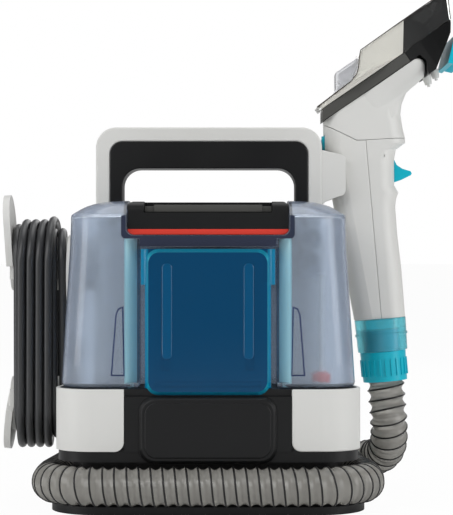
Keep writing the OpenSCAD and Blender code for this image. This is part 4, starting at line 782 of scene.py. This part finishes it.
hose = {
    "diameter": 0.034, "ribs": 97, "stepsPerRib": 10, "sides": 40, "routeSteps": 8,
    "under": 0.0006, "valley": 0.0022, "crease": 0.7,  # film below the crown, a fold's depth and its shape
    "wire": 0.0009, "wireSides": 6, "wireSteps": 3,  # the wire's radius, then how finely it is drawn
    "route": [
        (126, 44, 24.2), (126, 27, 24.2), (126, 8, 24.2), (130, -22, 24.2), (133, -48, 24.2),
        (130, -79, 24.2), (108, -103, 24.2), (76, -109, 24.2), (40, -110, 24.2), (0, -110, 24.2),
        (-40, -110, 24.2), (-76, -109, 24.2), (-108, -103, 24.2), (-130, -79, 24.2), (-133, -48, 24.2),
        (-131, -18, 24.2), (-128, 12, 24.2), (-125, 42, 24.2), (-117, 73, 24.2), (-96, 96, 24.2),
        (-68, 106, 24.2), (-30, 107, 24.2), (10, 107, 24.2), (50, 107, 24.2), (80, 107, 24.2),
        (108, 105, 24.6), (133, 96, 26), (151, 79, 29.5), (160, 59, 37), (162.5, 43, 50),
        (161.4, 34, 69.3), (160, 34, 86), (158.5, 34, 102.8),
    ],
}


def hoseRadius(i, angle):
    # The film sinks between the turns of the wire, deepest half way
    turn = i / hose["stepsPerRib"] - angle / (2 * math.pi)
    dip = 0.5 - 0.5 * math.cos(2 * math.pi * turn)
    return hose["diameter"] / 2 - hose["under"] - hose["valley"] * dip ** hose["crease"]


def makeHose():
    line = smoothLine([Vector(p) / 1000 for p in hose["route"]], hose["routeSteps"])
    line = evenLine(line, hose["ribs"] * hose["stepsPerRib"])
    mesh = tubeMesh("hoseFilm", line, hoseRadius, hose["sides"], closed=False)
    film = addPiece("hoseFilm", mesh, "machine", "hose_film", "hoseVinyl")
    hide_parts("suction_hose")
    coil = []
    for i, (p, (u, v)) in enumerate(zip(line, carriedFrames(line, (0, 0, 1)))):
        a = 2 * math.pi * i / hose["stepsPerRib"]
        coil.append(p + (hose["diameter"] / 2 - hose["wire"]) * (u * math.cos(a) + v * math.sin(a)))
    coil = smoothLine(coil, hose["wireSteps"])
    mesh = tubeMesh("hoseWire", coil, lambda i, a: hose["wire"], hose["wireSides"])
    wire = addPiece("hoseWire", mesh, "machine", "rubber_black", "coatedSpringWire")


makeHose()


# Mains lead: wound round two pegs in an inner layer, then an outer one, with the tail hanging behind

lead = {
    "diameter": 0.0074, "sides": 12,  # metres, and the rest in millimetres
    "hookY": 34, "pegTop": 208.5, "pegLow": 83, "firstX": -130, "pitch": 7.9,
    "inner": 5, "climb": 0.5, "outer": 3.5, "tail": 0.5,  # turns
    "layerIn": 28.2, "layerOut": 36.2, "reach": 48,  # distance of each layer and of the tail from the pegs
    "climbOut": 0.25,  # share of the pitch by which the cord swings out as it climbs to the outer layer
    "steps": 24, "bendParts": 3, "runParts": 10,  # steps in a turn, and parts of one in a bend or a run
    "start": 80, "end": 150, "plugRun": 11.1, "entryIn": 1.2, "tailDrop": 10,
}


def turnPlace(t):
    # A point of the winding after t turns: round the upper peg, down, round the lower one, up
    outX = lead["firstX"] - lead["pitch"] * lead["inner"]
    c = t - lead["inner"]
    e = (c - lead["climb"] - lead["outer"]) / lead["tail"]
    if c <= 0:
        x, d = lead["firstX"] - lead["pitch"] * t, lead["layerIn"]
    elif c <= lead["climb"]:
        x = outX - lead["climbOut"] * lead["pitch"] * math.sin(math.pi * c / lead["climb"])
        d = lead["layerIn"] + (lead["layerOut"] - lead["layerIn"]) * c / lead["climb"]
    else:
        x, d = outX + lead["pitch"] * (c - lead["climb"]), lead["layerOut"]
        if e > 0:
            d += (lead["reach"] - lead["layerOut"]) * e * e
    k = (t * lead["steps"]) % lead["steps"]
    half = lead["steps"] / 2
    low, k = (k >= half, k % half)
    a = math.radians(min(k / (half - 1), 1) * 180 + (180 if low else 0))
    z = lead["pegLow"] if low else lead["pegTop"]
    if k > half - 1:  # the straight run to the other peg
        z += (k - half + 1) * (lead["pegTop"] - lead["pegLow"]) * (1 if low else -1)
    return Vector((x, lead["hookY"] - d * math.cos(a), z + d * math.sin(a)))


def makeLead():
    turns = lead["inner"] + lead["climb"] + lead["outer"] + lead["tail"]
    lastStep = int(turns * lead["steps"]) - 1  # the tail hangs short of the lower peg
    entryX, entryY = lead["firstX"] + lead["entryIn"], lead["hookY"] - lead["layerIn"]
    tailX, tailY = turnPlace(turns).x, lead["hookY"] + lead["reach"]
    route = [Vector((entryX, entryY, z)) for z in (lead["start"], lead["start"] + lead["plugRun"])]
    for i in range(lastStep):
        half = lead["steps"] // 2
        parts = lead["runParts"] if i % half == half - 1 else lead["bendParts"]
        route += [turnPlace((i + k / parts) / lead["steps"]) for k in range(parts)]
    route.append(turnPlace(lastStep / lead["steps"]))
    route += [Vector((tailX, tailY, z)) for z in
              (lead["pegTop"] - lead["tailDrop"], lead["end"] + lead["plugRun"], lead["end"])]
    line = [p / 1000 for p in route]
    mesh = tubeMesh("mainsLead", line, lambda i, a: lead["diameter"] / 2, lead["sides"], first=(1, 0, 0))
    cord = addPiece("mainsLead", mesh, "machine", "cord_jacket", "cordPvc")
    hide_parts("power_cord")
    print("lead wound:", round(lineLength(line), 3), "m")


makeLead()


# Floor and surroundings

# Matt paper sweep: white to the eye, with soft shadows. Metres, and shares of full white
studio = {"colour": "#f4f4f4", "roughness": 0.9, "half": 60.0, "white": 0.965, "room": 0.28}


def directView(tree):
    # 1 where the eye sees the surface straight or through a clear wall
    rays = addNode(tree, "ShaderNodeLightPath")
    return addNode(tree, "ShaderNodeMath", {"operation": "MAXIMUM"},
                   {0: rays.outputs["Is Camera Ray"], 1: rays.outputs["Is Transmission Ray"]}).outputs[0]


def makeFloor():
    material, tree, shader = newMaterial("paperSweep", Base_Color=toLinear(studio["colour"]),
                                         Roughness=studio["roughness"])
    glow = addNode(tree, "ShaderNodeEmission", Color=(1, 1, 1, 1), Strength=1.0)
    share = addNode(tree, "ShaderNodeMath", {"operation": "MULTIPLY"}, {0: directView(tree)})
    share.inputs[1].default_value = studio["white"]
    mix = addNode(tree, "ShaderNodeMixShader", links={"Fac": share.outputs[0], 1: shader.outputs[0],
                                                      2: glow.outputs[0]})
    tree.links.new(mix.outputs[0], tree.nodes["Material Output"].inputs["Surface"])
    half = studio["half"]
    corners = [(-half, -half, 0), (half, -half, 0), (half, half, 0), (-half, half, 0)]
    sheet = bpy.data.meshes.new("paperSweep")
    sheet.from_pydata(corners, [], [(0, 1, 2, 3)])
    sheet.materials.append(material)
    linked("paperSweep", sheet)


def makeRoom():
    world = bpy.data.worlds.new("studio")
    world.use_nodes = True
    bpy.context.scene.world = world
    tree = world.node_tree
    tree.nodes.clear()
    room = addNode(tree, "ShaderNodeBackground", Color=(1, 1, 1, 1), Strength=studio["room"])
    white = addNode(tree, "ShaderNodeBackground", Color=(1, 1, 1, 1), Strength=1.0)
    mix = addNode(tree, "ShaderNodeMixShader", links={"Fac": directView(tree), 1: room.outputs[0],
                                                      2: white.outputs[0]})
    addNode(tree, "ShaderNodeOutputWorld", links={"Surface": mix.outputs[0]})


makeFloor()
makeRoom()
print("dressed")
